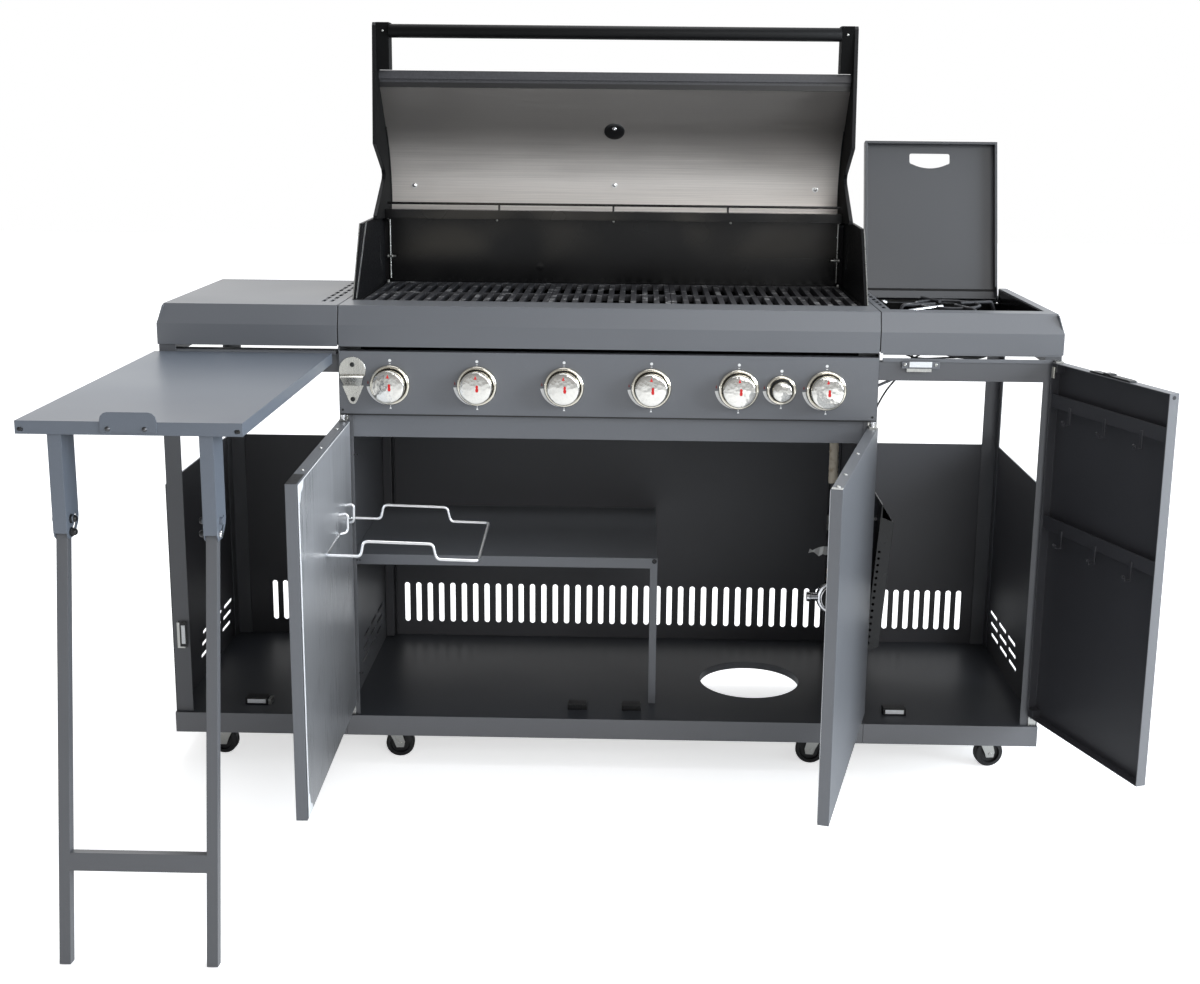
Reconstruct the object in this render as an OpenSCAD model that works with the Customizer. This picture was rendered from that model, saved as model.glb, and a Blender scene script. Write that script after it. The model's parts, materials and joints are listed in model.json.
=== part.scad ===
// Gas barbecue grill with three cabinets, a side burner and a fold-out table.
// Rest pose: hood, side lid, three doors and the flap table are all open.
// Millimetres. +X is to the cook's right, +Y to the back, +Z up, z = 0 is the ground.

/* [Cabinet] */
// Width of the middle cabinet
cab_w = 970; // [900:5:1040]
// Width of each side cabinet and shelf
side_w = 325; // [300:5:350]
// Height of the worktop above the ground
top_z = 872; // [860:1:900]
// Depth of the side shelves
top_d = 406; // [400:2:420]
// Depth from the front plane to the back panel
cab_d = 449; // [446:1:470]
// Height of the cabinet floor above the ground
base_z = 98; // [94:1:104]
// Height of the floor pan's front lip
base_h = 39; // [34:1:42]
// Overhang of the floor pan in front of the cabinet
base_front = 6; // [4:1:8]
// Sheet metal thickness
sheet = 2; // [1.5:0.1:2]
// Height of the side cabinets' back and side panels
side_panel_h = 440; // [400:5:480]
// Width of the folded corner posts
post_w = 30; // [24:1:34]
// Height of the middle back panel
back_h = 542; // [500:2:548]
// Length of the sauce rack
basket_len = 230; // [180:5:260]
// Height of the sauce rack's back plate
basket_h = 295; // [240:5:320]
// Width of the sauce rack
basket_w = 27; // [20:1:40]
// Distance that the sauce rack leans out at the top
basket_lean = 21; // [10:1:30]
// Diameter of the gas regulator
regulator_d = 70; // [60:1:74]
// Radius of the hole that holds the gas bottle
bottle_r = 99; // [90:1:105]

/* [Worktop] */
// Height of the slanted part of the front
bevel_h = 35; // [28:1:40]
// Depth of the slanted part of the front
bevel_d = 11; // [8:1:16]
// Height of the upright front lip
lip_h = 38; // [32:1:42]
// Front edge of the cooking opening
mouth_y = 90; // [80:1:96]

/* [Control panel] */
// Height of the control panel
panel_h = 114; // [108:1:116]
// Distance between the main knobs
knob_pitch = 156.6; // [152:0.2:158]
// Diameter of a main bezel
bezel_d = 70; // [64:1:74]
// Diameter of the side burner's bezel
bezel_small_d = 51; // [46:1:54]
// Diameter of a main knob
knob_d = 59; // [50:1:60]
// Diameter of the side burner's knob
knob_small_d = 36; // [32:1:40]
// Height of a knob above its bezel
knob_h = 30; // [18:1:34]
// Diameter of a knob's stem
stem_d = 8; // [6:0.5:9]

/* [Firebox] */
// Depth of the firebox below the worktop
box_depth = 170; // [150:5:180]
// Height of the cheeks above the worktop
cheek_h = 133; // [120:1:140]
// Bar spacing of the cooking grates
bar_pitch = 21.6; // [20:0.2:24]
// Width of a grate bar
bar_w = 10; // [8:0.5:11]
// Thickness of the grates
grate_t = 12; // [10:1:14]
// Diameter of a burner tube
burner_d = 30; // [24:1:34]

/* [Hood] */
// Thickness of the hood's end castings
hood_end_t = 7.5; // [5:0.5:8]
// Thickness of the firebox cheeks
cheek_t = 6; // [4:0.5:7]
// Gap between the cheeks and the hood's end castings
hood_gap = 0.5; // [0.3:0.1:1]
// Depth of the open hood behind its hinge
hood_back = 69; // [60:1:72]
// Height of the open hood's lip above its hinge
hood_lip_h = 280; // [270:1:284]
// Width of the arms that carry the handle
arm_w = 32; // [26:0.5:34]
// Diameter of the hood's handle tube
handle_d = 26; // [22:1:30]
// Diameter of the hinge pins
hood_pin_d = 10; // [8:1:12]

/* [Side burner] */
// Width of the side burner's lid
lid_w = 268; // [250:1:270]
// Depth of the lid's flanges
lid_t = 20; // [16:1:22]
// Angle of the open lid from the closed one
lid_open = 105.4; // [95:0.2:108]
// Diameter of the lid's hinge pins
lid_pin_d = 6; // [4:0.5:6]
// Radius of the side burner's head
burner_head_r = 42; // [36:1:46]

/* [Doors] */
// Thickness of the doors
door_t = 18; // [16:1:20]
// Height of the underside of the doors
door_z0 = 120; // [116:1:126]
// Height of the top of the middle doors
door_z1 = 665; // [650:1:668]
// Height of the top of the right door
side_door_z1 = 788; // [780:1:790]
// Gap between the closed middle doors
door_gap = 4; // [3:0.5:8]
// Angle that the left middle door stands open
left_open = 88.6; // [80:0.2:89]
// Angle that the right middle door stands open
right_open = 75.2; // [60:0.2:89]
// Angle that the right side door stands open
side_open = 109.7; // [95:0.1:112]
// Diameter of the door pins
door_pin_d = 6; // [5:0.5:8]
// Diameter of the holder's wire
wire_d = 4; // [3:0.5:5]

/* [Table] */
// Width of the flap table
table_w = 320; // [300:2:322]
// Length of the flap table from its hinge pin
table_len = 618; // [600:2:626]
// Height of the table's top
table_z = 787; // [784:1:788]
// Thickness of the table
table_t = 19; // [16:1:20]
// Distance between the legs, centre to centre
leg_span = 214; // [200:2:230]
// Outside width of a leg tube
leg_w = 16; // [14:1:18]
// Wall of the leg tubes and channels
leg_wall = 1.6; // [1.2:0.1:2]
// Length of the channels under the table
channel_len = 145; // [136:1:156]
// Depth of those channels
channel_d = 48; // [44:1:54]
// Angle that the legs lean out at the foot
leg_lean = 8.6; // [6:0.2:10]
// Diameter of the knee bolts
knee_d = 6; // [5:0.5:7]
// Distance from the pivot bolt to the slot bolt
slot_r = 19; // [17:0.5:22]

/* [Casters] */
// Diameter of the wheels
wheel_d = 54; // [50:1:56]
// Width of the wheels
wheel_w = 20; // [16:1:22]
// Distance from the swivel to the wheel's axle
trail = 16; // [12:1:20]
// Diameter of the swivel stem
stem_caster_d = 10; // [8:1:12]

/* [Fits] */
// Radial clearance of a pin in its bore
fit = 0.05; // [0.02:0.01:0.09]
// Gap between pieces that move past each other
gap = 0.3; // [0.3:0.1:0.8]
// Segments of a round shape
round_n = 40; // [24:4:64]

/* [Hidden] */
$fn = round_n;
steel_grey = [0.30, 0.31, 0.33];
light_grey = [0.55, 0.56, 0.60];
dark = [0.10, 0.10, 0.11];
zinc = [0.75, 0.75, 0.74];

hw = cab_w / 2;
ow = hw + side_w;
lip_z = top_z - bevel_h;
lip_z0 = lip_z - lip_h;
base_z0 = base_z - base_h;
panel_y = -3;
panel_z1 = lip_z0 - 8;
panel_z0 = panel_z1 - panel_h;
panel_zc = (panel_z0 + panel_z1) / 2 - 3;
rail_z1 = panel_z0 - 1;
rail_z0 = rail_z1 - 43;
side_panel_z = base_z + side_panel_h;
post_z1 = lip_z0 + 31;
part_z1 = lip_z0 - 1;

// Cooking box
box_hw = hw - 25;
box_y0 = mouth_y;
box_y1 = cab_d - 19;
box_z0 = top_z - box_depth;
grate_z = top_z - 2;
cheek_x0 = box_hw + hood_end_t + hood_gap;
cheek_x1 = cheek_x0 + cheek_t;
cheek_z = top_z + cheek_h;
back_z = cheek_z - 2;
wall_t = 2;
burner_z = top_z - 127;
grate_y0 = mouth_y + 3;
grate_y1 = box_y1 - 10;

// Hood, given as it stands open: the shell goes up the back, round a bend and down to the lip
hinge_y = box_y1 - 12;
hinge_z = cheek_z + 3;
hood_in = box_hw;
shell_y = hinge_y + hood_back;
shell_z0 = hinge_z + 4;
bend_z = hinge_z + 22;
bend_r = 250;
bend_a = 40;
hood_lip_z = hinge_z + hood_lip_h;
hood_top_z = hood_lip_z + 92;
arm_y0 = hinge_y - 93;
handle_y = hinge_y - 86;
handle_z = hood_top_z - 16;
liner_in = 12;

// Side burner
well_x0 = hw + 22;
well_x1 = well_x0 + lid_w + 8;
lid_hinge_y = top_d - 14;
lid_len = top_d - 84;
lid_hinge_z = top_z - lid_t;
well_y0 = lid_hinge_y - lid_len - 22;
well_y1 = lid_hinge_y + 4;
burner_x = (well_x0 + well_x1) / 2;
burner_y = (well_y0 + well_y1) / 2 + 3;

// Doors
door_y = -2;
door_w = hw - 2 - door_gap / 2;
door_pin_x = hw - 9;
door_pin_y = door_y - door_t / 2;
side_door_w = side_w - 7;
side_pin_x = ow - 10;

// Flap table
table_x = -(hw + side_w / 2 + 7.5);
table_pin_y = -11;
table_pin_z = table_z - table_t / 2;
channel_w = leg_w + 2 * (leg_wall + gap);
channel_y0 = table_pin_y - table_len + 4;
knee_y = channel_y0 + leg_wall + leg_w / 2 + 7;
knee_z = table_z - table_t - channel_len + 18;
leg_len = (knee_z - 0.01) / cos(leg_lean) - leg_w / 2 * tan(leg_lean);
knee_arc = 90 + leg_lean;

// Casters: swivel centre and the way that each wheel trails
caster_top = base_z0 + 17;
caster_x1 = hw + side_w * 0.71;
caster_x2 = hw - 77;
caster_y0 = 40;
caster_y1 = cab_d - 44;
caster_sites = [
    [-caster_x1, caster_y0, 176],
    [-caster_x2, caster_y0, 4],
    [caster_x2, caster_y0, 172],
    [caster_x1, caster_y0, 8],
    [-caster_x1, caster_y1, 160],
    [caster_x1, caster_y1, 20]
];

// Gas hose: it hangs from the manifold to the regulator
hose_d = 15;
hose_route = [
    [440, 66, 690],
    [440, 92, 690],
    [440, 116, 690],
    [440, 140, 690],
    [440, 155.5, 688],
    [440, 170, 682],
    [440, 182.4, 672.4],
    [440, 192, 660],
    [440, 198, 645.5],
    [439.4, 200, 630],
    [438, 200, 612],
    [437, 200, 596],
    [437, 200, 560],
    [437, 200, 515],
    [437, 200, 480],
    [437, 200, 440],
    [437, 200, 400],
    [437, 200, 370],
    [437, 200, 340]
];
hose_x = hose_route[0][0];
hose_top = hose_route[0];
hose_end = hose_route[len(hose_route) - 1];
hose_sides = 10;
sleeve_z0 = hose_end[2] + 173;
sleeve_z1 = hose_end[2] + 254;
crimp_z0 = hose_end[2] + 76;
crimp_z1 = hose_end[2] + 107;

// ---------- helpers ----------

// A box between two corners
module box(a, b) {
    translate([min(a[0], b[0]), min(a[1], b[1]), min(a[2], b[2])])
        cube([abs(b[0] - a[0]), abs(b[1] - a[1]), abs(b[2] - a[2])]);
}

// An outline in Y and Z, drawn out along X from x0 to x1
module along_x(x0, x1) {
    translate([x0, 0, 0])
        rotate([90, 0, 90])
            linear_extrude(x1 - x0)
                children();
}

// An outline in X and Z, drawn out along Y from y0 to y1
module along_y(y0, y1) {
    translate([0, y1, 0])
        rotate([90, 0, 0])
            linear_extrude(y1 - y0)
                children();
}

// A pin along X, Y or Z, centred in the other two directions
module pin_x(x0, x1, y, z, d) {
    translate([x0, y, z])
        rotate([0, 90, 0])
            cylinder(d = d, h = x1 - x0);
}
module pin_y(x, y0, y1, z, d) {
    translate([x, y0, z])
        rotate([-90, 0, 0])
            cylinder(d = d, h = y1 - y0);
}
module pin_z(x, y, z0, z1, d) {
    translate([x, y, z0])
        cylinder(d = d, h = z1 - z0);
}

// A slot outline with round ends
module slot2d(len, w) {
    r = w / 2;
    square([w, len - w], center = true);
    for (s = [-1, 1])
        translate([0, s * (len / 2 - r)])
            circle(r = r, $fn = 16);
}

// Turn children about a line along X through a point in Y and Z
module turn_x(a, y, z) {
    translate([0, y, z])
        rotate([a, 0, 0])
            translate([0, -y, -z])
                children();
}

// Turn children about an upright line
module turn_z(a, x, y) {
    translate([x, y, 0])
        rotate([0, 0, a])
            translate([-x, -y, 0])
                children();
}

// ---------- cabinet ----------

// A floor pan: top sheet with lips all round, open below
module pan(x0, x1) {
    difference() {
        box([x0, -base_front, base_z0], [x1, cab_d + sheet, base_z]);
        box([x0 + sheet, sheet - base_front, base_z0 - 1],
            [x1 - sheet, cab_d, base_z - sheet]);
    }
}

// The block under a pan that a caster's stem turns in
module caster_mount(site) {
    difference() {
        box([site[0] - 22, site[1] - 22, caster_top],
            [site[0] + 22, site[1] + 22, base_z - sheet]);
        pin_z(site[0], site[1], caster_top - 1, base_z - sheet - 3,
              stem_caster_d + 2 * fit);
    }
}

module base_centre_pan() {
    color(steel_grey) {
        difference() {
            union() {
                pan(-hw + gap, hw - gap);
                pin_z(286, 214, base_z - 14, base_z, 2 * (bottle_r + sheet));
            }
            pin_z(286, 214, base_z0 - 1, base_z + 1, 2 * bottle_r);
        }
        caster_mount(caster_sites[1]);
        caster_mount(caster_sites[2]);
    }
}

module base_side_pans() {
    color(steel_grey)
        for (s = [-1, 1]) {
            x = [s * (hw + gap), s * ow];
            pan(min(x), max(x));
            for (i = s < 0 ? [0, 4] : [3, 5])
                caster_mount(caster_sites[i]);
        }
}

// A folded angle post, corner at x, y, arms towards sx and sy
module post(x, y, sx, sy, z0, z1) {
    box([x, y, z0], [x + sx * post_w, y + sy * sheet, z1]);
    box([x, y + sy * sheet, z0], [x + sx * sheet, y + sy * post_w, z1]);
}

module cart_frame() {
    x1 = ow - sheet;
    rail_top = lip_z0 - 15;
    color(steel_grey)
        for (s = [-1, 1]) {
            rail_y = s < 0 ? 12 : sheet;
            post(s * x1, sheet, -s, 1, base_z, post_z1);
            post(s * x1, cab_d - sheet, -s, -1, base_z, part_z1);
            // front top rail, an angle folded to the back
            box([s * hw, rail_y, rail_top - 34], [s * (x1 - post_w), rail_y + sheet, rail_top]);
            box([s * hw, rail_y + sheet, rail_top - sheet],
                [s * (x1 - post_w), rail_y + 16, rail_top]);
            // rear top rail
            box([s * hw, cab_d - 2 * sheet, part_z1 - 30], [s * (x1 - post_w), cab_d - sheet, part_z1]);
            // shelf arm between the posts
            box([s * (x1 - sheet), sheet + post_w, part_z1 - 30],
                [s * x1, top_d - sheet, post_z1]);
            box([s * (x1 - sheet), top_d - sheet, part_z1 - 30],
                [s * x1, cab_d - sheet - post_w, part_z1]);
            // tie from the front rail to the post
            box([s * (x1 - post_w), rail_y, rail_top - 34], [s * (x1 - sheet), rail_y + sheet, rail_top]);
        }
}

// Rows of round-ended louvre slots, seen along X, starting at y0
module louvres(y0, z0) {
    for (r = [0 : 2], c = [0 : 2])
        translate([y0 + c * 78 + r * 9, z0 + r * 22])
            rotate([0, 0, 90])
                slot2d(62, 8);
}

// One partition: an upright sheet with a front flange
module partition(s) {
    x0 = s * (hw - sheet);
    difference() {
        union() {
            box([x0, sheet, base_z], [s * hw, cab_d - sheet, part_z1]);
            box([x0, 14, part_z1], [s * hw, cab_d - sheet, top_z - sheet]);
            box([s * (hw - 24), sheet, base_z], [x0, 2 * sheet, rail_z1 - 2]);
        }
        if (s < 0)
            along_x(-hw - 1, -hw + sheet + 1)
                louvres(cab_d - 259, base_z + 45);
    }
}

module partitions() {
    color(steel_grey)
        for (s = [-1, 1])
            partition(s);
}

// Back panels, with a row of upright vent slots low down
vent_pitch = 24.6;
side_vent_pitch = 22.3;
vent_z = base_z + 74;
vent_len = 88;
vent_n = floor((cab_w - 84) / vent_pitch) + 1;
side_vent_n = 9;

module vents(n, pitch, xc) {
    for (i = [0 : n - 1])
        translate([xc + (i - (n - 1) / 2) * pitch, vent_z])
            slot2d(vent_len, 11);
}

module back_panels() {
    color(steel_grey)
        along_y(cab_d, cab_d + sheet) {
            difference() {
                translate([-hw, base_z])
                    square([cab_w, back_h]);
                vents(vent_n, vent_pitch, 5);
            }
            for (s = [-1, 1])
                difference() {
                    translate([s > 0 ? hw + gap : -ow + sheet, base_z])
                        square([side_w - sheet - gap, side_panel_h]);
                    vents(side_vent_n, side_vent_pitch, s * (hw + side_w / 2) + 12);
                }
        }
}

module side_panels() {
    x0 = ow - sheet;
    color(steel_grey)
        for (s = [-1, 1])
            difference() {
                box([s * x0, sheet, base_z], [s * ow, cab_d - sheet, side_panel_z]);
                along_x(min(s * (x0 - 1), s * (ow + 1)), max(s * (x0 - 1), s * (ow + 1)))
                    louvres(cab_d - 249, base_z + 45);
            }
}

// ---------- worktop ----------

// Outline of the front edge in Y and Z: flat top, slant and upright lip
module edge_outline(y1) {
    polygon([
        [bevel_d, top_z], [0, lip_z], [0, lip_z0], [sheet, lip_z0],
        [sheet, lip_z], [bevel_d + sheet, top_z - sheet], [y1, top_z - sheet], [y1, top_z]
    ]);
}

// A side shelf: the bent top with a slanted outer end
module shelf(s) {
    x0 = hw + 1;
    intersection() {
        union() {
            along_x(-ow - 1, ow + 1)
                edge_outline(top_d);
            // outer end, bent the same way
            along_y(sheet, top_d)
                for (m = [0, 1])
                    mirror([m, 0])
                        polygon([
                            [ow - bevel_d, top_z - sheet], [ow, lip_z], [ow, lip_z0],
                            [ow - sheet, lip_z0], [ow - sheet, lip_z],
                            [ow - bevel_d - sheet, top_z - sheet]
                        ]);
            // rear skirt
            along_x(-ow + bevel_d, ow - bevel_d)
                translate([top_d - sheet, lip_z0 + 8])
                    square([sheet, top_z - lip_z0 - 9]);
        }
        // the slanted end
        along_y(-1, cab_d)
            polygon([
                [s * x0, lip_z0 - 1], [s * ow, lip_z0 - 1], [s * ow, lip_z],
                [s * (ow - bevel_d), top_z], [s * (ow - bevel_d), top_z + 1],
                [s * x0, top_z + 1]
            ]);
    }
    // inner skirt against the partition
    box([s * hw, 16, lip_z0 + 8], [s * (hw + sheet), top_d, top_z - sheet]);
}

// Two rows of short vents beside the cooking box
module shelf_vents(s) {
    for (r = [0, 1], k = [0 : 7])
        translate([s * (hw + 22 + r * 15 - (s > 0 ? 8 : 0)), 76 + k * 40])
            square([7, 28], center = true);
}

module left_shelf() {
    color(light_grey)
        difference() {
            shelf(-1);
            translate([0, 0, top_z - sheet - 1])
                linear_extrude(sheet + 2)
                    shelf_vents(-1);
        }
}

module right_shelf() {
    color(light_grey)
        difference() {
            shelf(1);
            box([well_x0, well_y0, top_z - sheet - 1], [well_x1, top_d + 1, top_z + 1]);
            // room for the lid as it swings back
            box([well_x0, well_y1, lid_hinge_z - 10], [well_x1, top_d + 1, top_z + 1]);
            translate([0, 0, top_z - sheet - 1])
                linear_extrude(sheet + 2)
                    intersection() {
                        shelf_vents(1);
                        square([2 * (well_x0 - 3), 2 * top_d], center = true);
                    }
        }
}

module centre_fascia() {
    color(light_grey) {
        along_x(-hw + 1, hw - 1)
            edge_outline(mouth_y);
        for (s = [-1, 1]) {
            // strip beside the cooking box
            box([s * (cheek_x1 + 1), mouth_y, top_z - sheet], [s * (hw - 1), top_d, top_z]);
            // end web against the partition
            along_x(min(s * (hw - sheet), s * (hw - 2 * sheet)), max(s * (hw - sheet), s * (hw - 2 * sheet)))
                polygon([
                    [sheet, lip_z0 + 4], [sheet, lip_z], [bevel_d + sheet, top_z - sheet],
                    [mouth_y, top_z - sheet], [mouth_y, lip_z0 + 4]
                ]);
        }
    }
}

// ---------- control panel ----------

knob_x = [for (i = [0 : 5]) (i - 2.5) * knob_pitch];
side_knob_x = 2 * knob_pitch - 2;

module control_panel() {
    x1 = hw - sheet;
    color(steel_grey)
        difference() {
            union() {
                box([-x1, panel_y, panel_z0], [x1, panel_y + sheet, panel_z1]);
                box([-x1, panel_y + sheet, panel_z1 - sheet], [x1, 20, panel_z1]);
                box([-x1, panel_y + sheet, panel_z0], [x1, 20, panel_z0 + sheet]);
                for (s = [-1, 1])
                    box([s * x1, panel_y + sheet, panel_z0 + sheet],
                        [s * (x1 - sheet), 20, panel_z1 - sheet]);
            }
            for (x = concat(knob_x, [side_knob_x]))
                pin_y(x, panel_y - 1, panel_y + sheet + 1, panel_zc, 2 * stem_d);
        }
}

module header_rail() {
    color(steel_grey)
        difference() {
            box([-hw + sheet, 6, rail_z0], [hw - sheet, 26, rail_z1]);
            box([-hw, 6 + sheet, rail_z0 - 1], [hw, 27, rail_z1 - sheet]);
        }
}

// A bezel: a raised ring seated on the panel
module bezel(x, d) {
    translate([x, panel_y, panel_zc])
        rotate([90, 0, 0])
            rotate_extrude()
                polygon([
                    [stem_d + 1, 0], [d / 2, 0], [d / 2, 4.5], [d / 2 - 1.5, 7],
                    [d / 2 - 4, 7.5], [d / 2 - 5, 6], [d / 2 - 5, 3], [stem_d + 1, 3]
                ]);
}

module knob_bezels() {
    color(zinc) {
        for (x = knob_x)
            bezel(x, bezel_d);
        bezel(side_knob_x, bezel_small_d);
    }
}

// A knob with its stem, which turns in the valve behind the panel
module knob(x, d) {
    color(zinc)
        translate([x, panel_y, panel_zc])
            rotate([90, 0, 0]) {
                rotate_extrude()
                    polygon([
                        [0, 3 + gap], [d / 2 - 2, 3 + gap], [d / 2 - 0.5, 5],
                        [d / 2 - 0.5, knob_h - 6.5], [d / 2 - 2, knob_h - 3.8],
                        [d / 2 - 6, knob_h - 1.8], [d / 2 - 12, knob_h - 0.5],
                        [d / 2 - 17.5, knob_h], [0, knob_h]
                    ]);
                translate([0, 0, -24])
                    cylinder(d = stem_d, h = 28);
            }
}

module knob_1() { knob(knob_x[0], knob_d); }
module knob_2() { knob(knob_x[1], knob_d); }
module knob_3() { knob(knob_x[2], knob_d); }
module knob_4() { knob(knob_x[3], knob_d); }
module knob_5() { knob(knob_x[4], knob_d); }
module knob_6() { knob(knob_x[5], knob_d); }
module knob_side() { knob(side_knob_x, knob_small_d); }

// Bottle opener: a pressed plate with a hooked bridge
module bottle_opener() {
    x = -hw + 26;
    z = panel_zc + 6;
    color(zinc)
        difference() {
            union() {
                along_y(panel_y - 2, panel_y)
                    translate([x, z]) {
                        translate([0, 22])
                            circle(r = 22);
                        polygon([[-17, 12], [17, 12], [19, -22], [8, -42], [-8, -42], [-19, -22]]);
                    }
                along_x(x - 17, x + 17)
                    polygon([
                        [panel_y - 2, z + 10], [panel_y - 14, z + 4], [panel_y - 15, z - 2],
                        [panel_y - 13, z - 2], [panel_y - 12, z + 2], [panel_y - 2, z + 6]
                    ]);
            }
            for (dz = [30, -32])
                pin_y(x, panel_y - 3, panel_y + 1, z + dz, 6);
            box([x - 11, panel_y - 3, z - 16], [x + 11, panel_y + 1, z - 4]);
        }
}

// ---------- cooking box ----------

// Enamelled tub: walls, a floor that slopes to a drain slot, tray runners
module firebox() {
    fx = box_hw;
    z1 = top_z - sheet;
    color(dark) {
        difference() {
            box([-fx, box_y0, box_z0], [fx, box_y1, z1]);
            box([-fx + wall_t, box_y0 + wall_t, box_z0 + wall_t],
                [fx - wall_t, box_y1 - wall_t, z1 + 1]);
            box([-120, 220, box_z0 - 1], [120, 300, box_z0 + wall_t + 1]);
            for (x = knob_x)
                pin_y(x, box_y0 - 1, box_y0 + wall_t + 1, burner_z, burner_d - 4);
        }
        // upper back wall with its top flange
        box([-fx + 0.5, box_y1 - wall_t, z1], [fx - 0.5, box_y1, back_z]);
        box([-fx + 0.5, box_y1 - 45, back_z - wall_t], [fx - 0.5, box_y1 - wall_t, back_z]);
        // ledges that the grates and the heat plates rest on
        for (z = [grate_z - grate_t, grate_z - 80]) {
            box([-fx + wall_t, box_y0 + wall_t, z - 2], [fx - wall_t, box_y0 + wall_t + 12, z]);
            box([-fx + wall_t, box_y1 - wall_t - 14, z - 2], [fx - wall_t, box_y1 - wall_t, z]);
        }
        for (s = [-1, 1]) {
            // runners for the grease tray
            box([s * 184, 120, box_z0 - 36], [s * 186, box_y1, box_z0]);
            box([s * 172, 120, box_z0 - 36], [s * 184, box_y1, box_z0 - 34]);
            // brackets that hang the tub from the partitions
            for (y = [box_y0 + 20, box_y1 - 60])
                box([s * fx, y, box_z0 + 20], [s * (hw - sheet), y + 40, box_z0 + 24]);
        }
    }
}

// Cast cheeks at both ends, with a slanted front and a hinge ear
module firebox_cheeks() {
    color(dark)
        for (s = [-1, 1]) {
            difference() {
                along_x(min(s * cheek_x0, s * cheek_x1), max(s * cheek_x0, s * cheek_x1))
                    union() {
                        polygon([
                            [mouth_y + 8, top_z - 30], [mouth_y + 8, top_z],
                            [mouth_y + 95, cheek_z], [hinge_y - 13, cheek_z + 2],
                            [box_y1, cheek_z - 14], [box_y1, top_z - 30]
                        ]);
                        translate([hinge_y, hinge_z])
                            circle(r = 16);
                    }
                // upright slot near the back
                along_x(min(s * cheek_x0, s * cheek_x1) - 1, max(s * cheek_x0, s * cheek_x1) + 1)
                    translate([box_y1 - 60, top_z + 66])
                        slot2d(60, 6);
            }
            // flange behind the back wall, which closes the corner
            box([s * (box_hw - 6), box_y1 + 2.2, top_z - 30], [s * cheek_x1, box_y1 + 4.2, cheek_z - 16]);
            box([s * cheek_x0, box_y1 - 1, top_z - 30], [s * cheek_x1, box_y1 + 3, cheek_z - 16]);
            // foot flange on the side of the tub
            box([s * box_hw, mouth_y + 8, top_z - 30], [s * cheek_x0, box_y1, top_z - 4]);
            // hinge pin of the hood
            pin_x(min(s * (box_hw + 0.5), s * cheek_x0), max(s * (box_hw + 0.5), s * cheek_x0),
                  hinge_y, hinge_z, hood_pin_d);
        }
}

// One grate: a frame with slots between the bars and a cross rib
module grate(x0, x1) {
    n = floor((x1 - x0 - bar_w) / bar_pitch);
    p = (x1 - x0 - bar_w) / n;
    rib = grate_y0 + 0.44 * (grate_y1 - grate_y0);
    translate([0, 0, grate_z - grate_t])
        linear_extrude(grate_t)
            difference() {
                translate([x0, grate_y0])
                    square([x1 - x0, grate_y1 - grate_y0]);
                for (i = [0 : n - 1]) {
                    translate([x0 + bar_w + i * p, grate_y0 + 12])
                        square([p - bar_w, rib - grate_y0 - 18]);
                    translate([x0 + bar_w + i * p, rib + 6])
                        square([p - bar_w, grate_y1 - rib - 18]);
                }
            }
}

module cooking_grates() {
    gx = box_hw - wall_t - 1;
    mid = 0.25 * gx;
    color(dark) {
        grate(-gx, -mid - 0.5);
        grate(-mid + 0.5, mid - 0.5);
        grate(mid + 0.5, gx);
    }
}

module burners() {
    z = burner_z;
    color(zinc)
        for (x = knob_x)
            difference() {
                union() {
                    pin_y(x, box_y0 - 20, box_y1 - 40, z, burner_d - 5);
                    pin_y(x, box_y0 + wall_t + 8, box_y1 - 40, z, burner_d);
                    box([x - 6, box_y1 - 40, z - 4], [x + 6, box_y1 - wall_t, z + 4]);
                    box([x - 10, box_y0 + wall_t, z - 13], [x + 10, box_y0 + wall_t + 10, z + 13]);
                }
                pin_y(x, box_y0 - 21, box_y1 - 60, z, burner_d - 10);
            }
}

// Folded heat plates above the burners
module flame_tamers() {
    z = grate_z - 80;
    color(dark)
        for (x = knob_x)
            along_y(box_y0 + wall_t + 0.4, box_y1 - wall_t - 0.4)
                translate([x, z])
                    polygon([[-50, 0], [0, 28], [50, 0], [44, 0], [0, 25], [-44, 0]]);
}

// Gas pipe with a valve behind each knob
module gas_manifold() {
    spout_y = 52;
    color(zinc) {
        pin_x(knob_x[0] - 30, hose_x + 8, panel_y + 38, panel_zc, 18);
        for (x = concat(knob_x, [side_knob_x]))
            difference() {
                box([x - 11, panel_y + 10, panel_zc - 14], [x + 11, panel_y + 28.5, panel_zc + 14]);
                pin_y(x, panel_y + 9, panel_y + 26, panel_zc, stem_d + 2 * fit);
            }
        // brackets to the tub
        for (x = [-300, 0, 280])
            box([x - 10, panel_y + 46, panel_zc - 9], [x + 10, box_y0, panel_zc + 9]);
        // injectors into the burners
        for (x = knob_x)
            box([x - 6, panel_y + 46, panel_zc - 6], [x + 6, box_y0 - 20, burner_z + 6]);
        // elbow that the hose screws on to
        pin_z(hose_top[0], spout_y, hose_top[2] - 7, panel_zc - 6, 14);
        pin_y(hose_top[0], spout_y, hose_top[1] - 0.02, hose_top[2], 14);
        box([hose_top[0] - 8, panel_y + 40, panel_zc - 8],
            [hose_top[0] + 8, spout_y + 8, panel_zc + 8]);
    }
}

// Rail and thin rod across the top of the back wall
module rear_rail() {
    x1 = box_hw - 0.5;
    color(dark) {
        box([-x1, box_y1 - 45, back_z], [x1, box_y1 - 25, back_z + 16]);
        pin_x(-x1 + 4, x1 - 4, box_y1 - 35, back_z + 28, 5);
        for (x = [-box_hw / 2, 0, box_hw / 2])
            pin_z(x, box_y1 - 35, back_z + 16, back_z + 28, 4);
    }
}

// ---------- inside the cabinet ----------

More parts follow.
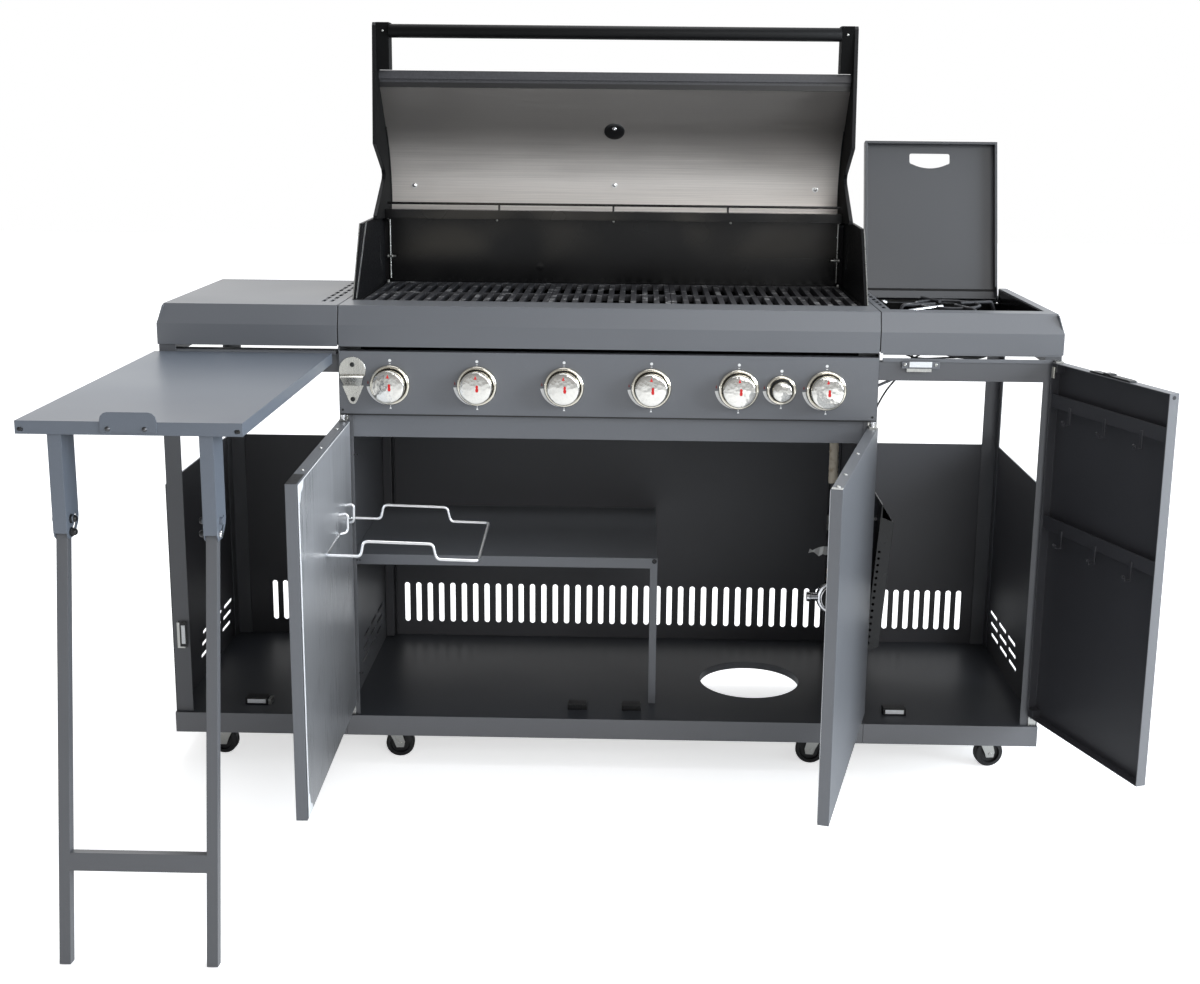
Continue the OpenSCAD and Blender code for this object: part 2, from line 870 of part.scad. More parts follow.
module inner_shelf() {
    z = base_z + 291;
    y0 = 78;
    x0 = -hw + sheet + 0.3;
    x1 = 96;
    color(steel_grey) {
        box([x0, y0, z - sheet], [x1, cab_d, z]);
        box([x0, y0, z - 20], [x1, y0 + sheet, z - sheet]);
        // front leg and rear cleat
        box([x1 - 14, y0, base_z], [x1, y0 + sheet, z - 20]);
        box([x1 - sheet, y0 + sheet, base_z], [x1, y0 + 16, z - sheet]);
        box([x0, cab_d - sheet, z - 20], [x1, cab_d, z - sheet]);
    }
}

module condiment_basket() {
    x0 = hw + 12;
    y0 = 100;
    y1 = y0 + basket_len;
    z0 = base_z + 102;
    z1 = z0 + basket_h;
    // end view in X and Z: the back plate and the lower front lean out to the top
    back = [[x0, z0], [x0 + basket_lean, z1]];
    front = [[x0 + basket_w, z0 + 12], [x0 + basket_w + basket_lean - 3, z1 - 35]];
    color(dark)
        difference() {
            union() {
                along_y(y0, y1)
                    polygon([
                        back[0], back[1], [back[1][0] + sheet, z1], [back[1][0] + sheet, z1 - 26],
                        front[1], front[0]
                    ]);
                // hooks on the partition
                for (y = [y0 + 30, y1 - 50]) {
                    box([hw + gap, y, z1 - 40], [x0 + basket_lean - 1, y + 20, z1 - 38]);
                    box([hw + gap, y, z0 + 20], [x0 + 3, y + 20, z0 + 22]);
                }
            }
            along_y(y0 + sheet, y1 - sheet)
                polygon([
                    back[0] + [sheet + 0.4, sheet], back[1] + [sheet, 1], [front[1][0] - sheet, z1 + 1],
                    front[1] - [sheet, 0], front[0] + [-sheet - 0.4, sheet]
                ]);
            for (k = [0 : 14]) {
                z = z0 + 20 + k * 13;
                pin_y(x0 + 5.5 + basket_lean * (z - z0) / basket_h, y0 - 1, y0 + sheet + 1, z, 5);
            }
        }
}

// ---------- gas hose ----------

// Points of a ring around p, across direction t
function unit(v) = v / norm(v);
function ring(p, t, r, n) =
    let (u = unit(cross(t, [1, 0, 0])), w = cross(unit(t), u))
    [for (k = [0 : n - 1]) p + r * (u * cos(360 * k / n) + w * sin(360 * k / n))];
function lerp3(a, b, t) = a + (b - a) * t;
function spline(p0, p1, p2, p3, t) =
    0.5 * (2 * p1 + (p2 - p0) * t + (2 * p0 - 5 * p1 + 4 * p2 - p3) * t * t
           + (3 * p1 - p0 - 3 * p2 + p3) * t * t * t);
function path_point(r, i, t) =
    spline(r[max(i - 1, 0)], r[i], r[i + 1], r[min(i + 2, len(r) - 1)], t);
function path(r, steps) = concat(
    [for (i = [0 : len(r) - 2], k = [0 : steps - 1]) path_point(r, i, k / steps)],
    [r[len(r) - 1]]);

// One closed tube swept along the points
module tube(points, d, n) {
    m = len(points);
    rings = [for (i = [0 : m - 1])
        ring(points[i], points[min(i + 1, m - 1)] - points[max(i - 1, 0)], d / 2, n)];
    flat = [for (q = rings, v = q) v];
    polyhedron(
        points = flat,
        faces = concat(
            [[for (k = [0 : n - 1]) n - 1 - k]],
            [[for (k = [0 : n - 1]) (m - 1) * n + k]],
            [for (i = [0 : m - 2], k = [0 : n - 1])
                [i * n + k, i * n + (k + 1) % n, (i + 1) * n + (k + 1) % n, (i + 1) * n + k]]
        ));
}

module gas_hose() {
    color(dark)
        tube(path(hose_route, 1), hose_d, hose_sides);
}

// Sleeve, crimp and screwed end on the hose
module hose_fittings() {
    color(zinc) {
        for (z = [[sleeve_z0, sleeve_z1, 19], [crimp_z0, crimp_z1, 18]])
            difference() {
                pin_z(hose_end[0], hose_end[1], z[0], z[1], z[2]);
                pin_z(hose_end[0], hose_end[1], z[0] - 1, z[1] + 1, hose_d + 1);
            }
        pin_z(hose_end[0], hose_end[1], hose_end[2] - 25.8, hose_end[2], 11);
    }
}

// Round regulator with its inlet stub
module gas_regulator() {
    r = regulator_d / 2;
    z = hose_end[2] - 26 - r;
    x = hose_end[0] + 10;
    color(zinc) {
        translate([x, hose_end[1], z])
            rotate([90, 0, 0])
                rotate_extrude()
                    polygon([
                        [0, -13], [r - 10, -13], [r - 2, -5], [r, -1.5], [r, 1.5],
                        [r - 2, 4], [r - 12, 14], [0, 17]
                    ]);
        pin_x(x - r - 18, x - r + 6, hose_end[1], z, 20);
    }
}

// ---------- fixed door hardware ----------

// A door pin standing on a boss, up into the door or down into it
module door_pins(x, z_top) {
    pin_z(x, door_pin_y, door_z0 - gap, door_z0 + 14, door_pin_d);
    pin_z(x, door_pin_y, z_top - 14, z_top + gap, door_pin_d);
    box([x - 7, door_pin_y - 7, z_top + gap], [x + 7, sheet, z_top + gap + 2.5]);
    box([x - 7, door_pin_y - 7, door_z0 - gap - 2.5], [x + 7, sheet, door_z0 - gap]);
}

module door_hardware() {
    color(zinc) {
        for (s = [-1, 1]) {
            door_pins(s * door_pin_x, door_z1);
            // feet of the pin plates on the partition flanges
            box([s * door_pin_x - 7, 0, base_z], [s * door_pin_x + 7, sheet, door_z0 - gap - 2.5]);
            box([s * door_pin_x - 7, 0, door_z1 + 2.8], [s * door_pin_x + 7, sheet, door_z1 + 9]);
        }
        // right side door
        pin_z(side_pin_x, door_pin_y, door_z0 - gap, door_z0 + 14, door_pin_d);
        pin_z(side_pin_x, door_pin_y, side_door_z1 - 14, side_door_z1 + gap, door_pin_d);
        box([side_pin_x - 7, door_pin_y - 7, door_z0 - gap - 2.5],
            [side_pin_x + 7, sheet, door_z0 - gap]);
        box([side_pin_x - 7, 0, base_z], [side_pin_x + 7, sheet, door_z0 - gap - 2.5]);
        box([side_pin_x - 7, door_pin_y - 7, side_door_z1 + gap],
            [side_pin_x + 7, sheet, side_door_z1 + gap + 2.5]);
        // catches on the floor and the top rail
        for (x = [-53, 50, hw + 68, -hw - 170])
            box([x - 16, 40, base_z], [x + 16, 60, base_z + 10]);
        box([hw + 48, -4, lip_z0 - 32], [hw + 92, sheet, lip_z0 - 16]);
        box([-ow + 10, -4, base_z + 127], [-ow + 24, sheet, base_z + 177]);
        // table hinge pin ears on the left rail
        for (x = [table_x - table_w / 2 + 4, table_x + table_w / 2 - 8])
            difference() {
                union() {
                    box([x, table_pin_y, table_pin_z - 6],
                        [x + 4, x < table_x ? sheet : 12, table_pin_z + 4]);
                    pin_x(x, x + 4, table_pin_y, table_pin_z, 13);
                }
                pin_x(x - 1, x + 11, table_pin_y, table_pin_z, 8 + 2 * fit);
            }
        // stay bar for the table on the left post
        box([-ow + 2 * sheet, 8, base_z + 302], [-ow + 2 * sheet + 3, 24, base_z + 522]);
    }
}

// Shallow grease tray on its runners
module grease_tray() {
    x = 184 - gap;
    z0 = box_z0 - 34 + gap;
    color(zinc)
        difference() {
            box([-x, 130, z0], [x, box_y1 - 4, z0 + 26]);
            box([-x + 1.5, 131.5, z0 + 1.5], [x - 1.5, box_y1 - 5.5, z0 + 27]);
        }
}

// ---------- hood ----------

// Sheet line of the open hood in Y and Z, set in from the outside by d, ending at y_end
function hood_line(d, y_end) =
    let (
        tangent = [shell_y - bend_r + (bend_r - d) * cos(bend_a),
                   bend_z + (bend_r - d) * sin(bend_a)],
        t = (tangent[0] - y_end) / sin(bend_a)
    )
    concat(
        [[shell_y - d, shell_z0 + d]],
        [for (a = [0 : 2.5 : bend_a])
            [shell_y - bend_r + (bend_r - d) * cos(a), bend_z + (bend_r - d) * sin(a)]],
        [[y_end, tangent[1] + t * cos(bend_a)]]
    );

// Where that line stands in Y at a height within the bend
function hood_y(d, z) = shell_y - bend_r + sqrt(pow(bend_r - d, 2) - pow(z - bend_z, 2));

// A bent sheet between two such lines
module hood_sheet(d, t, y_end) {
    outer = hood_line(d, y_end);
    inner = hood_line(d + t, y_end);
    polygon(concat(outer, [for (i = [len(inner) - 1 : -1 : 0]) inner[i]]));
}

lip_y = hinge_y - 73;
lip_line = hood_line(0, lip_y);
lip_z1 = lip_line[len(lip_line) - 1][1];

// Shell with its lower flange and its folded lip
module hood_shell() {
    t = 1.6;
    z1 = lip_z1;
    color(dark)
        along_x(-hood_in, hood_in) {
            hood_sheet(0, t, lip_y);
            translate([hinge_y + 12, shell_z0])
                square([hood_back - 12, t]);
            translate([lip_y, z1 - 16])
                square([t, 15]);
            translate([lip_y + t, z1 - 16])
                square([7, t]);
            translate([lip_y + 7, z1 - 24])
                square([t, 8.1]);
        }
}

// Bright liner inside the shell, on spacers
module hood_liner() {
    rivet_z = hinge_z + 60;
    color(zinc) {
        along_x(-hood_in, hood_in)
            hood_sheet(liner_in, 1.2, lip_y + 9);
        for (x = [-402, 0, 402])
            pin_y(x, hood_y(liner_in, rivet_z) - 0.4, hood_y(1.6, rivet_z) - 1, rivet_z, 8);
    }
}

// End castings with the arms that carry the handle
module hood_ends() {
    z1 = lip_z1;
    rear = hood_line(-1, arm_y0 + 38);
    color(dark)
        for (s = [-1, 1]) {
            x0 = min(s * hood_in, s * (hood_in + hood_end_t));
            difference() {
                along_x(x0, x0 + hood_end_t)
                    union() {
                        polygon(concat(
                            [
                                [hinge_y - 113, hinge_z + 142], [arm_y0, hood_top_z - 6],
                                [arm_y0 + 6, hood_top_z], [arm_y0 + 38, hood_top_z]
                            ],
                            [for (i = [len(rear) - 1 : -1 : 0]) rear[i]],
                            [
                                [shell_y + 1, hinge_z - 2], [hinge_y + 14, hinge_z - 8],
                                [hinge_y - 14, hinge_z - 8], [hinge_y - 123, hinge_z - 3],
                                [hinge_y - 123, hinge_z + 4], [hinge_y - 18, hinge_z + 70],
                                [hinge_y - 13, hinge_z + 79], [hinge_y - 18, hinge_z + 88]
                            ]
                        ));
                        translate([hinge_y, hinge_z])
                            circle(r = 14);
                    }
                pin_x(x0 - 1, x0 + hood_end_t + 1, hinge_y, hinge_z, hood_pin_d + 2 * fit);
            }
            // arm block beside the handle
            box([s * hood_in, arm_y0, z1 + 1], [s * (hood_in + hood_end_t - arm_w), arm_y0 + 38, hood_top_z]);
        }
}

module hood_handle() {
    x1 = hood_in + hood_end_t - arm_w;
    color(dark)
        pin_x(-x1, x1, handle_y, handle_z, handle_d);
}

// ---------- side burner ----------

module side_burner() {
    z0 = top_z - 62;
    z1 = top_z - sheet;
    z2 = lid_hinge_z - 10;
    color(dark) {
        // drip pan hanging in the shelf, low at the back where the lid swings
        difference() {
            box([well_x0, well_y0, z0], [well_x1, well_y1, z1]);
            box([well_x0 + 2, well_y0 + 2, z0 + 2], [well_x1 - 2, well_y1 - 2, z1 + 1]);
            box([well_x0 + 2, well_y1 - 3, z2], [well_x1 - 2, well_y1 + 1, z1 + 1]);
        }
        // lid pins in the side walls
        pin_x(well_x0 + 1, well_x0 + 7, lid_hinge_y, lid_hinge_z, lid_pin_d);
        pin_x(well_x1 - 7, well_x1 - 1, lid_hinge_y, lid_hinge_z, lid_pin_d);
        for (s = [-1, 1])
            box([s < 0 ? well_x0 : well_x1 - 2, well_y1 - 3, z2 - 4],
                [s < 0 ? well_x0 + 2 : well_x1, well_y1 + 1, z1 - 1]);
        // burner cup and head
        pin_z(burner_x, burner_y, z0 + 2, z0 + 16, 60);
        pin_z(burner_x, burner_y, z0 + 16, z0 + 26, 2 * burner_head_r);
        // pan support: a ring on four feet
        difference() {
            pin_z(burner_x, burner_y, z0 + 32, z0 + 37, 2 * burner_head_r + 30);
            pin_z(burner_x, burner_y, z0 + 31, z0 + 38, 2 * burner_head_r + 20);
        }
        for (a = [45 : 90 : 315])
            translate([burner_x, burner_y, 0])
                rotate([0, 0, a]) {
                    translate([burner_head_r - 20, -3, z0 + 32])
                        cube([34, 6, 6]);
                    translate([burner_head_r + 10, -3, z0 + 32])
                        cube([55, 6, 6]);
                    translate([burner_head_r + 56, -3, z0 + 2])
                        cube([6, 6, 34]);
                }
    }
}

// Lid: a flanged tray with a finger slot, modelled closed and turned open
module side_lid() {
    x0 = well_x0 + 4;
    x1 = x0 + lid_w;
    y0 = lid_hinge_y - lid_len;
    y1 = lid_hinge_y;
    z0 = lid_hinge_z;
    z1 = top_z;
    color(steel_grey)
        turn_x(-lid_open, lid_hinge_y, lid_hinge_z)
            difference() {
                union() {
                    difference() {
                        box([x0, y0, z0], [x1, y1, z1]);
                        box([x0 + sheet, y0 + sheet, z0 - 1], [x1 - sheet, y1 - sheet, z1 - sheet]);
                        // finger slot with a curved front
                        translate([(x0 + x1) / 2, y0 + 21, z1 - sheet - 1])
                            linear_extrude(sheet + 2)
                                polygon([[-41, 0], [41, 0], [41, 14], [27, 30], [-27, 30], [-41, 14]]);
                    }
                    // hinge ears
                    for (x = [x0, x1 - sheet])
                        pin_x(x, x + sheet, y1, z0, 14);
                }
                pin_x(x0 - 1, x1 + 1, lid_hinge_y, lid_hinge_z, lid_pin_d + 2 * fit);
            }
}

// ---------- doors, modelled closed and turned open ----------

// A door pan from x0 to x1, with pin bores near x_pin
module door_pan(x0, x1, z0, z1, x_pin) {
    y0 = door_y - door_t;
    difference() {
        box([x0, y0, z0], [x1, door_y, z1]);
        difference() {
            box([x0 + sheet, y0 + sheet, z0 + sheet], [x1 - sheet, door_y + 1, z1 - sheet]);
            for (z = [z0, z1 - 16])
                box([x_pin - 8, y0, z], [x_pin + 8, door_y, z + 16]);
        }
        pin_z(x_pin, door_pin_y, z0 - 1, z0 + 14 + gap, door_pin_d + 2 * fit);
        pin_z(x_pin, door_pin_y, z1 - 14 - gap, z1 + 1, door_pin_d + 2 * fit);
    }
}

// Flat liner set into the inside of a middle door
module door_liner(x0, x1, x_pin) {
    difference() {
        box([x0 + sheet, door_y - 3, door_z0 + 14 + sheet + gap],
            [x1 - sheet, door_y - 1.5, door_z1 - 14 - sheet - gap]);
    }
}

module left_door() {
    x0 = -hw + 2;
    color(light_grey)
        turn_z(-left_open, -door_pin_x, door_pin_y) {
            door_pan(x0, x0 + door_w, door_z0, door_z1, -door_pin_x);
            door_liner(x0, x0 + door_w, -door_pin_x);
        }
}

module right_door() {
    x0 = hw - 2 - door_w;
    color(light_grey)
        turn_z(right_open, door_pin_x, door_pin_y) {
            door_pan(x0, x0 + door_w, door_z0, door_z1, door_pin_x);
            door_liner(x0, x0 + door_w, door_pin_x);
        }
}

module side_door() {
    x1 = ow - 2;
    x0 = x1 - side_door_w;
    color(dark)
        turn_z(side_open, side_pin_x, door_pin_y) {
            door_pan(x0, x1, door_z0, side_door_z1, side_pin_x);
            // two rails with three hooks each
            for (z = [side_door_z1 - 68, side_door_z1 - 291]) {
                box([x0 + sheet, door_y - 4, z - 12], [x1 - sheet, door_y - 2.5, z + 12]);
                for (i = [0 : 2])
                    along_x(x0 + 60 + i * 98, x0 + 66 + i * 98)
                        polygon([
                            [door_y - 2.5, z - 4], [door_y - 1.2, z - 4], [door_y - 1.2, z - 34],
                            [door_y + 9, z - 34], [door_y + 9, z - 28], [door_y + 10.5, z - 28],
                            [door_y + 10.5, z - 36], [door_y - 2.5, z - 36]
                        ]);
            }
            // pull tab on the top edge
            box([x0 + side_door_w * 0.42, door_y - door_t - 1.6, side_door_z1 - 8],
                [x0 + side_door_w * 0.66, door_y - door_t, side_door_z1 + 1]);
        }
}

// Wire tray holder that hooks into the left middle door, laid along the door
module wire_holder() {
    x = -hw + 2;
    zb = side_door_z1 - 298;
    y = door_y - 1.5;
    w = wire_d;
    module leg(a, b) {
        dv = b - a;
        translate(a)
            rotate([0, acos(dv[2] / norm(dv)), atan2(dv[1], dv[0])])
                cylinder(d = w, h = norm(dv), $fn = 24);
    }
    module bend(p) {
        translate(p)
            sphere(d = w + 0.2, $fn = 24);
    }
    r = w / 2;
    x0 = x + 28;
    x1 = x0 + 231;
    out = 255;
    up = 26;
    loop = [
        [x0 + 38, y + r, zb + 40], [x0 + 38, y + r, zb], [x0, y + r, zb], [x0, y + 55, zb],
        [x0, y + 68, zb + up], [x0, y + out - 77, zb + up], [x0, y + out - 64, zb],
        [x0, y + out, zb], [x1, y + out, zb], [x1, y + out - 64, zb],
        [x1, y + out - 77, zb + up], [x1, y + 68, zb + up], [x1, y + 55, zb],
        [x1, y + r, zb], [x0 + 103, y + r, zb], [x0 + 103, y + r, zb + 40]
    ];
    color(zinc)
        turn_z(-left_open, -door_pin_x, door_pin_y) {
            for (i = [0 : len(loop) - 2])
                leg(loop[i], loop[i + 1]);
            for (p = loop)
                bend(p);
        }
}

// ---------- flap table ----------

module table_top() {
    x0 = table_x - table_w / 2;
    x1 = table_x + table_w / 2;
    y0 = table_pin_y - table_len;
    z0 = table_z - table_t;
    lug = [x0 + 60, x1 - 80];
    color(light_grey) {
        difference() {
            box([x0, y0, z0], [x1, table_pin_y + 8, table_z]);
            box([x0 + sheet, y0 + sheet, z0 - 1], [x1 - sheet, table_pin_y + 14, table_z - sheet]);
            for (x = [x0 + 9, x1 - 9])
                pin_y(x, y0 - 1, y0 + sheet + 1, table_z - 12, 6);
        }
        // knuckles on the inner hinge pins
        for (x = lug)
            difference() {
                union() {
                    box([x, table_pin_y - 5, table_pin_z], [x + 20, table_pin_y + 5, table_z - sheet]);
                    pin_x(x, x + 20, table_pin_y, table_pin_z, 14);
                }
                pin_x(x - 1, x + 21, table_pin_y, table_pin_z, 8 + 2 * fit);
            }
    }
}

// Hinge rod that both fold steps turn on
module table_hinge() {
    color(zinc) {
        pin_x(table_x - table_w / 2 + 3, table_x + table_w / 2 - 3,
              table_pin_y, table_pin_z, 8);
    }
}

// Two channels under the free edge, and the pull tab
module table_channels() {
    z1 = table_z - table_t;
    z0 = z1 - channel_len;
    color(light_grey)
        for (s = [-1, 1]) {
            x = table_x + s * leg_span / 2;
            difference() {
                along_x(x - channel_w / 2, x + channel_w / 2)
                    translate([channel_y0, z0])
                        polygon([
                            [0, table_z - sheet - z0], [0, 0], [3, -6], [8, -10], [26, -10],
                            [channel_d - 12, -3], [channel_d - 3, 6], [channel_d, 16],
                            [channel_d, table_z - sheet - z0]
                        ]);
                box([x - channel_w / 2 + leg_wall, channel_y0 + leg_wall, z0 - 60],
                    [x + channel_w / 2 - leg_wall, channel_y0 + 90, z1 - 8]);
                box([x - 40, channel_y0 - 1, z0 - 90], [x + 40, channel_y0 + leg_wall, z0]);
                // arc slot for the lower bolt
                for (a = [-leg_lean : knee_arc / 26 : 90.1])
                    pin_x(x - channel_w, x + channel_w,
                          knee_y + slot_r * sin(a), knee_z - slot_r * cos(a), knee_d + 1);
            }
            // pivot bolt with its nut and head
            pin_x(x - channel_w / 2 - 5, x + channel_w / 2 + 5, knee_y, knee_z, knee_d);
            for (t = [-1, 1])
                pin_x(min(x + t * channel_w / 2, x + t * (channel_w / 2 + 5)),
                      max(x + t * channel_w / 2, x + t * (channel_w / 2 + 5)),
                      knee_y, knee_z, knee_d + 5);
        }
    color(steel_grey)
        along_y(table_pin_y - table_len - 1.6, table_pin_y - table_len)
            translate([table_x, table_z])
                polygon([
                    [-40, -15], [40, -15], [40, 2], [38.5, 8], [34, 12.5], [29, 14],
                    [-29, 14], [-34, 12.5], [-38.5, 8], [-40, 2]
                ]);
}

// Leg frame: two square tubes with a crossbar, upright then leaned out
module leg_frame() {
    bar_z = knee_z - 509;
    color(light_grey)
        turn_x(-leg_lean, knee_y, knee_z) {
            for (s = [-1, 1]) {
                x = table_x + s * leg_span / 2;
                difference() {
                    box([x - leg_w / 2, knee_y - leg_w / 2, knee_z - leg_len],
                        [x + leg_w / 2, knee_y + leg_w / 2, knee_z + 9]);
                    box([x - leg_w / 2 + leg_wall, knee_y - leg_w / 2 + leg_wall, knee_z - leg_len + 5],
                        [x + leg_w / 2 - leg_wall, knee_y + leg_w / 2 - leg_wall, knee_z + 10]);
                    pin_x(x - 20, x + 20, knee_y, knee_z, knee_d + 2 * fit);
                }
                // slot bolt, through both flanges of the channel
                pin_x(x - channel_w / 2 - 4, x + channel_w / 2 + 4, knee_y, knee_z - slot_r, knee_d);
            }
            x1 = leg_span / 2 - leg_w / 2;
            difference() {
                box([table_x - x1, knee_y - leg_w / 2, bar_z], [table_x + x1, knee_y + leg_w / 2, bar_z + 26]);
                box([table_x - x1 - 1, knee_y - leg_w / 2 + leg_wall, bar_z + leg_wall],
                    [table_x + x1 + 1, knee_y + leg_w / 2 - leg_wall, bar_z + 26 - leg_wall]);
            }
        }
}

// ---------- casters ----------

// Fork: stem, plate and two cheeks that hold the axle
module caster_fork(site) {
    color(zinc)
        translate([site[0], site[1], 0])
            rotate([0, 0, site[2]]) {
                pin_z(0, 0, caster_top - gap - 3, base_z - sheet - 4, stem_caster_d);
                pin_z(0, 0, caster_top - gap - 6, caster_top - gap, 38);
                for (s = [-1, 1])
                    difference() {
                        along_y(s * (wheel_w / 2 + 2) - 1, s * (wheel_w / 2 + 2) + 1)
                            polygon([
                                [-14, caster_top - gap - 5.5], [14, caster_top - gap - 5.5],
                                [trail + 9, wheel_d / 2 + 3], [trail + 7, wheel_d / 2 - 7],
                                [trail - 7, wheel_d / 2 - 7], [trail - 12, wheel_d / 2 + 6]
                            ]);
                    }
                translate([trail, 0, wheel_d / 2])
                    rotate([90, 0, 0])
                        cylinder(d = 6, h = wheel_w + 9, center = true);
            }
}

// Wheel with a rounded tread and a hub bore
module caster_wheel(site) {
    r = wheel_d / 2;
    color(dark)
        translate([site[0], site[1], 0])
            rotate([0, 0, site[2]])
                translate([trail, 0, r])
                    rotate([90, 0, 0])
                        rotate_extrude()
                            polygon([
                                [3 + fit, -wheel_w / 2 - 0.6], [8, -wheel_w / 2 - 0.6], [8, -4],
                                [r - 9, -4], [r - 8, -wheel_w / 2], [r - 2, -wheel_w / 2 + 1],
                                [r, -wheel_w / 2 + 4], [r, wheel_w / 2 - 4],
                                [r - 2, wheel_w / 2 - 1], [r - 8, wheel_w / 2], [r - 9, 4],
                                [8, 4], [8, wheel_w / 2 + 0.6], [3 + fit, wheel_w / 2 + 0.6]
                            ]);
}

module caster_fork_1() { caster_fork(caster_sites[0]); }
module caster_fork_2() { caster_fork(caster_sites[1]); }
module caster_fork_3() { caster_fork(caster_sites[2]); }
module caster_fork_4() { caster_fork(caster_sites[3]); }
module caster_fork_5() { caster_fork(caster_sites[4]); }
module caster_fork_6() { caster_fork(caster_sites[5]); }
module caster_wheel_1() { caster_wheel(caster_sites[0]); }
module caster_wheel_2() { caster_wheel(caster_sites[1]); }
module caster_wheel_3() { caster_wheel(caster_sites[2]); }
module caster_wheel_4() { caster_wheel(caster_sites[3]); }
module caster_wheel_5() { caster_wheel(caster_sites[4]); }
module caster_wheel_6() { caster_wheel(caster_sites[5]); }

base_centre_pan();
base_side_pans();
cart_frame();
partitions();
back_panels();
side_panels();
left_shelf();
right_shelf();
centre_fascia();
control_panel();
header_rail();
firebox();
firebox_cheeks();
cooking_grates();
burners();
flame_tamers();
gas_manifold();
rear_rail();
knob_bezels();
bottle_opener();
inner_shelf();
side_burner();
condiment_basket();
gas_hose();
hose_fittings();
gas_regulator();
door_hardware();
grease_tray();
hood_shell();
hood_liner();
hood_ends();
hood_handle();
side_lid();
left_door();
wire_holder();
right_door();
side_door();
table_top();
table_channels();
table_hinge();
leg_frame();
knob_1();
knob_2();
knob_3();
knob_4();
knob_5();
knob_6();
knob_side();
caster_fork_1();
caster_fork_2();
caster_fork_3();
caster_fork_4();
caster_fork_5();
caster_fork_6();
caster_wheel_1();
caster_wheel_2();
caster_wheel_3();
caster_wheel_4();
caster_wheel_5();
caster_wheel_6();
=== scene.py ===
"""Gas barbecue grill with its hood, side lid, doors and flap table open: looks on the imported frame."""
import json
import random
from math import asin, cos, radians, sin, sqrt, tan, tau

import bmesh
import bpy
from mathutils import Matrix, Vector

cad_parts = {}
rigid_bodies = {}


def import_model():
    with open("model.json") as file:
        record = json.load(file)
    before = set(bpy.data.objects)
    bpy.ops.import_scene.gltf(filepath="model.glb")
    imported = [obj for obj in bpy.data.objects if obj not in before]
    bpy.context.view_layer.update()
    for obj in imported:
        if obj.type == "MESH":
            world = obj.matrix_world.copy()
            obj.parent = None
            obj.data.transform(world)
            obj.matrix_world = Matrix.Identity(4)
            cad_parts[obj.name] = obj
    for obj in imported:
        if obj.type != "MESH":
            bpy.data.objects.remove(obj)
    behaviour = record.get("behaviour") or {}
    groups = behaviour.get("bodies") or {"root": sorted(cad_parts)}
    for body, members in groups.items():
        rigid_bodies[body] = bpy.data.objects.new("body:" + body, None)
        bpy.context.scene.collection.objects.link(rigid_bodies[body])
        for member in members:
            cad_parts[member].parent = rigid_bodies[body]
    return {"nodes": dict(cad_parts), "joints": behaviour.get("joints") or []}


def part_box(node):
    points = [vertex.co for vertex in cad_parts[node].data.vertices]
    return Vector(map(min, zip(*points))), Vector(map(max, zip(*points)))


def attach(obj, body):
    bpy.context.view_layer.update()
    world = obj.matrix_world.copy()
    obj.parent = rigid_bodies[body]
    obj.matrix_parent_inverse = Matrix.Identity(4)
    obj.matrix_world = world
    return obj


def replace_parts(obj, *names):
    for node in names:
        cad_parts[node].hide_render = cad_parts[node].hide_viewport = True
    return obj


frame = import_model()
nodes = frame["nodes"]
joints = {j["name"]: j for j in frame["joints"]}
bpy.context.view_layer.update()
mm = 0.001

# the pins of the doors, in millimetres, and how far each door and the side lid stand open, in degrees
pin_y = -11
left_pin, left_turn = -476, -88.6
right_pin, right_turn = 476, 75.2
side_pin, side_turn = 800, 109.7
lid_turn = -105.4


def in_mm(box):
    """A box's low and high corner, in millimetres."""
    return [[v / mm for v in corner] for corner in box]


def placed(name, data):
    made = bpy.data.objects.new(name, data)
    bpy.context.scene.collection.objects.link(made)
    return made


# ---- camera ----

def make_camera():
    """Eye height of a standing person, a little right of the middle, looking slightly down."""
    yaw, pitch, roll = (radians(a) for a in (-1.068, -11.852, 0.577))
    ahead = Vector((sin(yaw) * cos(pitch), cos(yaw) * cos(pitch), sin(pitch)))
    level = Vector((cos(yaw), -sin(yaw), 0))
    above = level.cross(ahead)
    right = level * cos(roll) + above * sin(roll)
    up = above * cos(roll) - level * sin(roll)
    camera = bpy.data.cameras.new("camera")
    camera.lens = 45.66
    camera.shift_x = -0.0082
    camera.shift_y = -0.0527
    camera.clip_end = 60
    eye = placed("camera", camera)
    place = Matrix.Translation((0.0548, -2.6911, 1.2198))
    eye.matrix_world = place @ Matrix((right, up, -ahead)).transposed().to_4x4()
    bpy.context.scene.camera = eye


make_camera()


# ---- gas hose ----

def eased(points, steps):
    """A smooth run of places through the given ones."""
    points = [Vector(p) for p in points]
    run = []
    ends = [points[0] * 2 - points[1]] + points + [points[-1] * 2 - points[-2]]
    for a, b, c, d in zip(ends, ends[1:], ends[2:], ends[3:]):
        for step in range(steps):
            t = step / steps
            run.append(0.5 * (2 * b + (c - a) * t + (2 * a - 5 * b + 4 * c - d) * t * t
                              + (3 * b - a - 3 * c + d) * t ** 3))
    return run + [points[-1]]


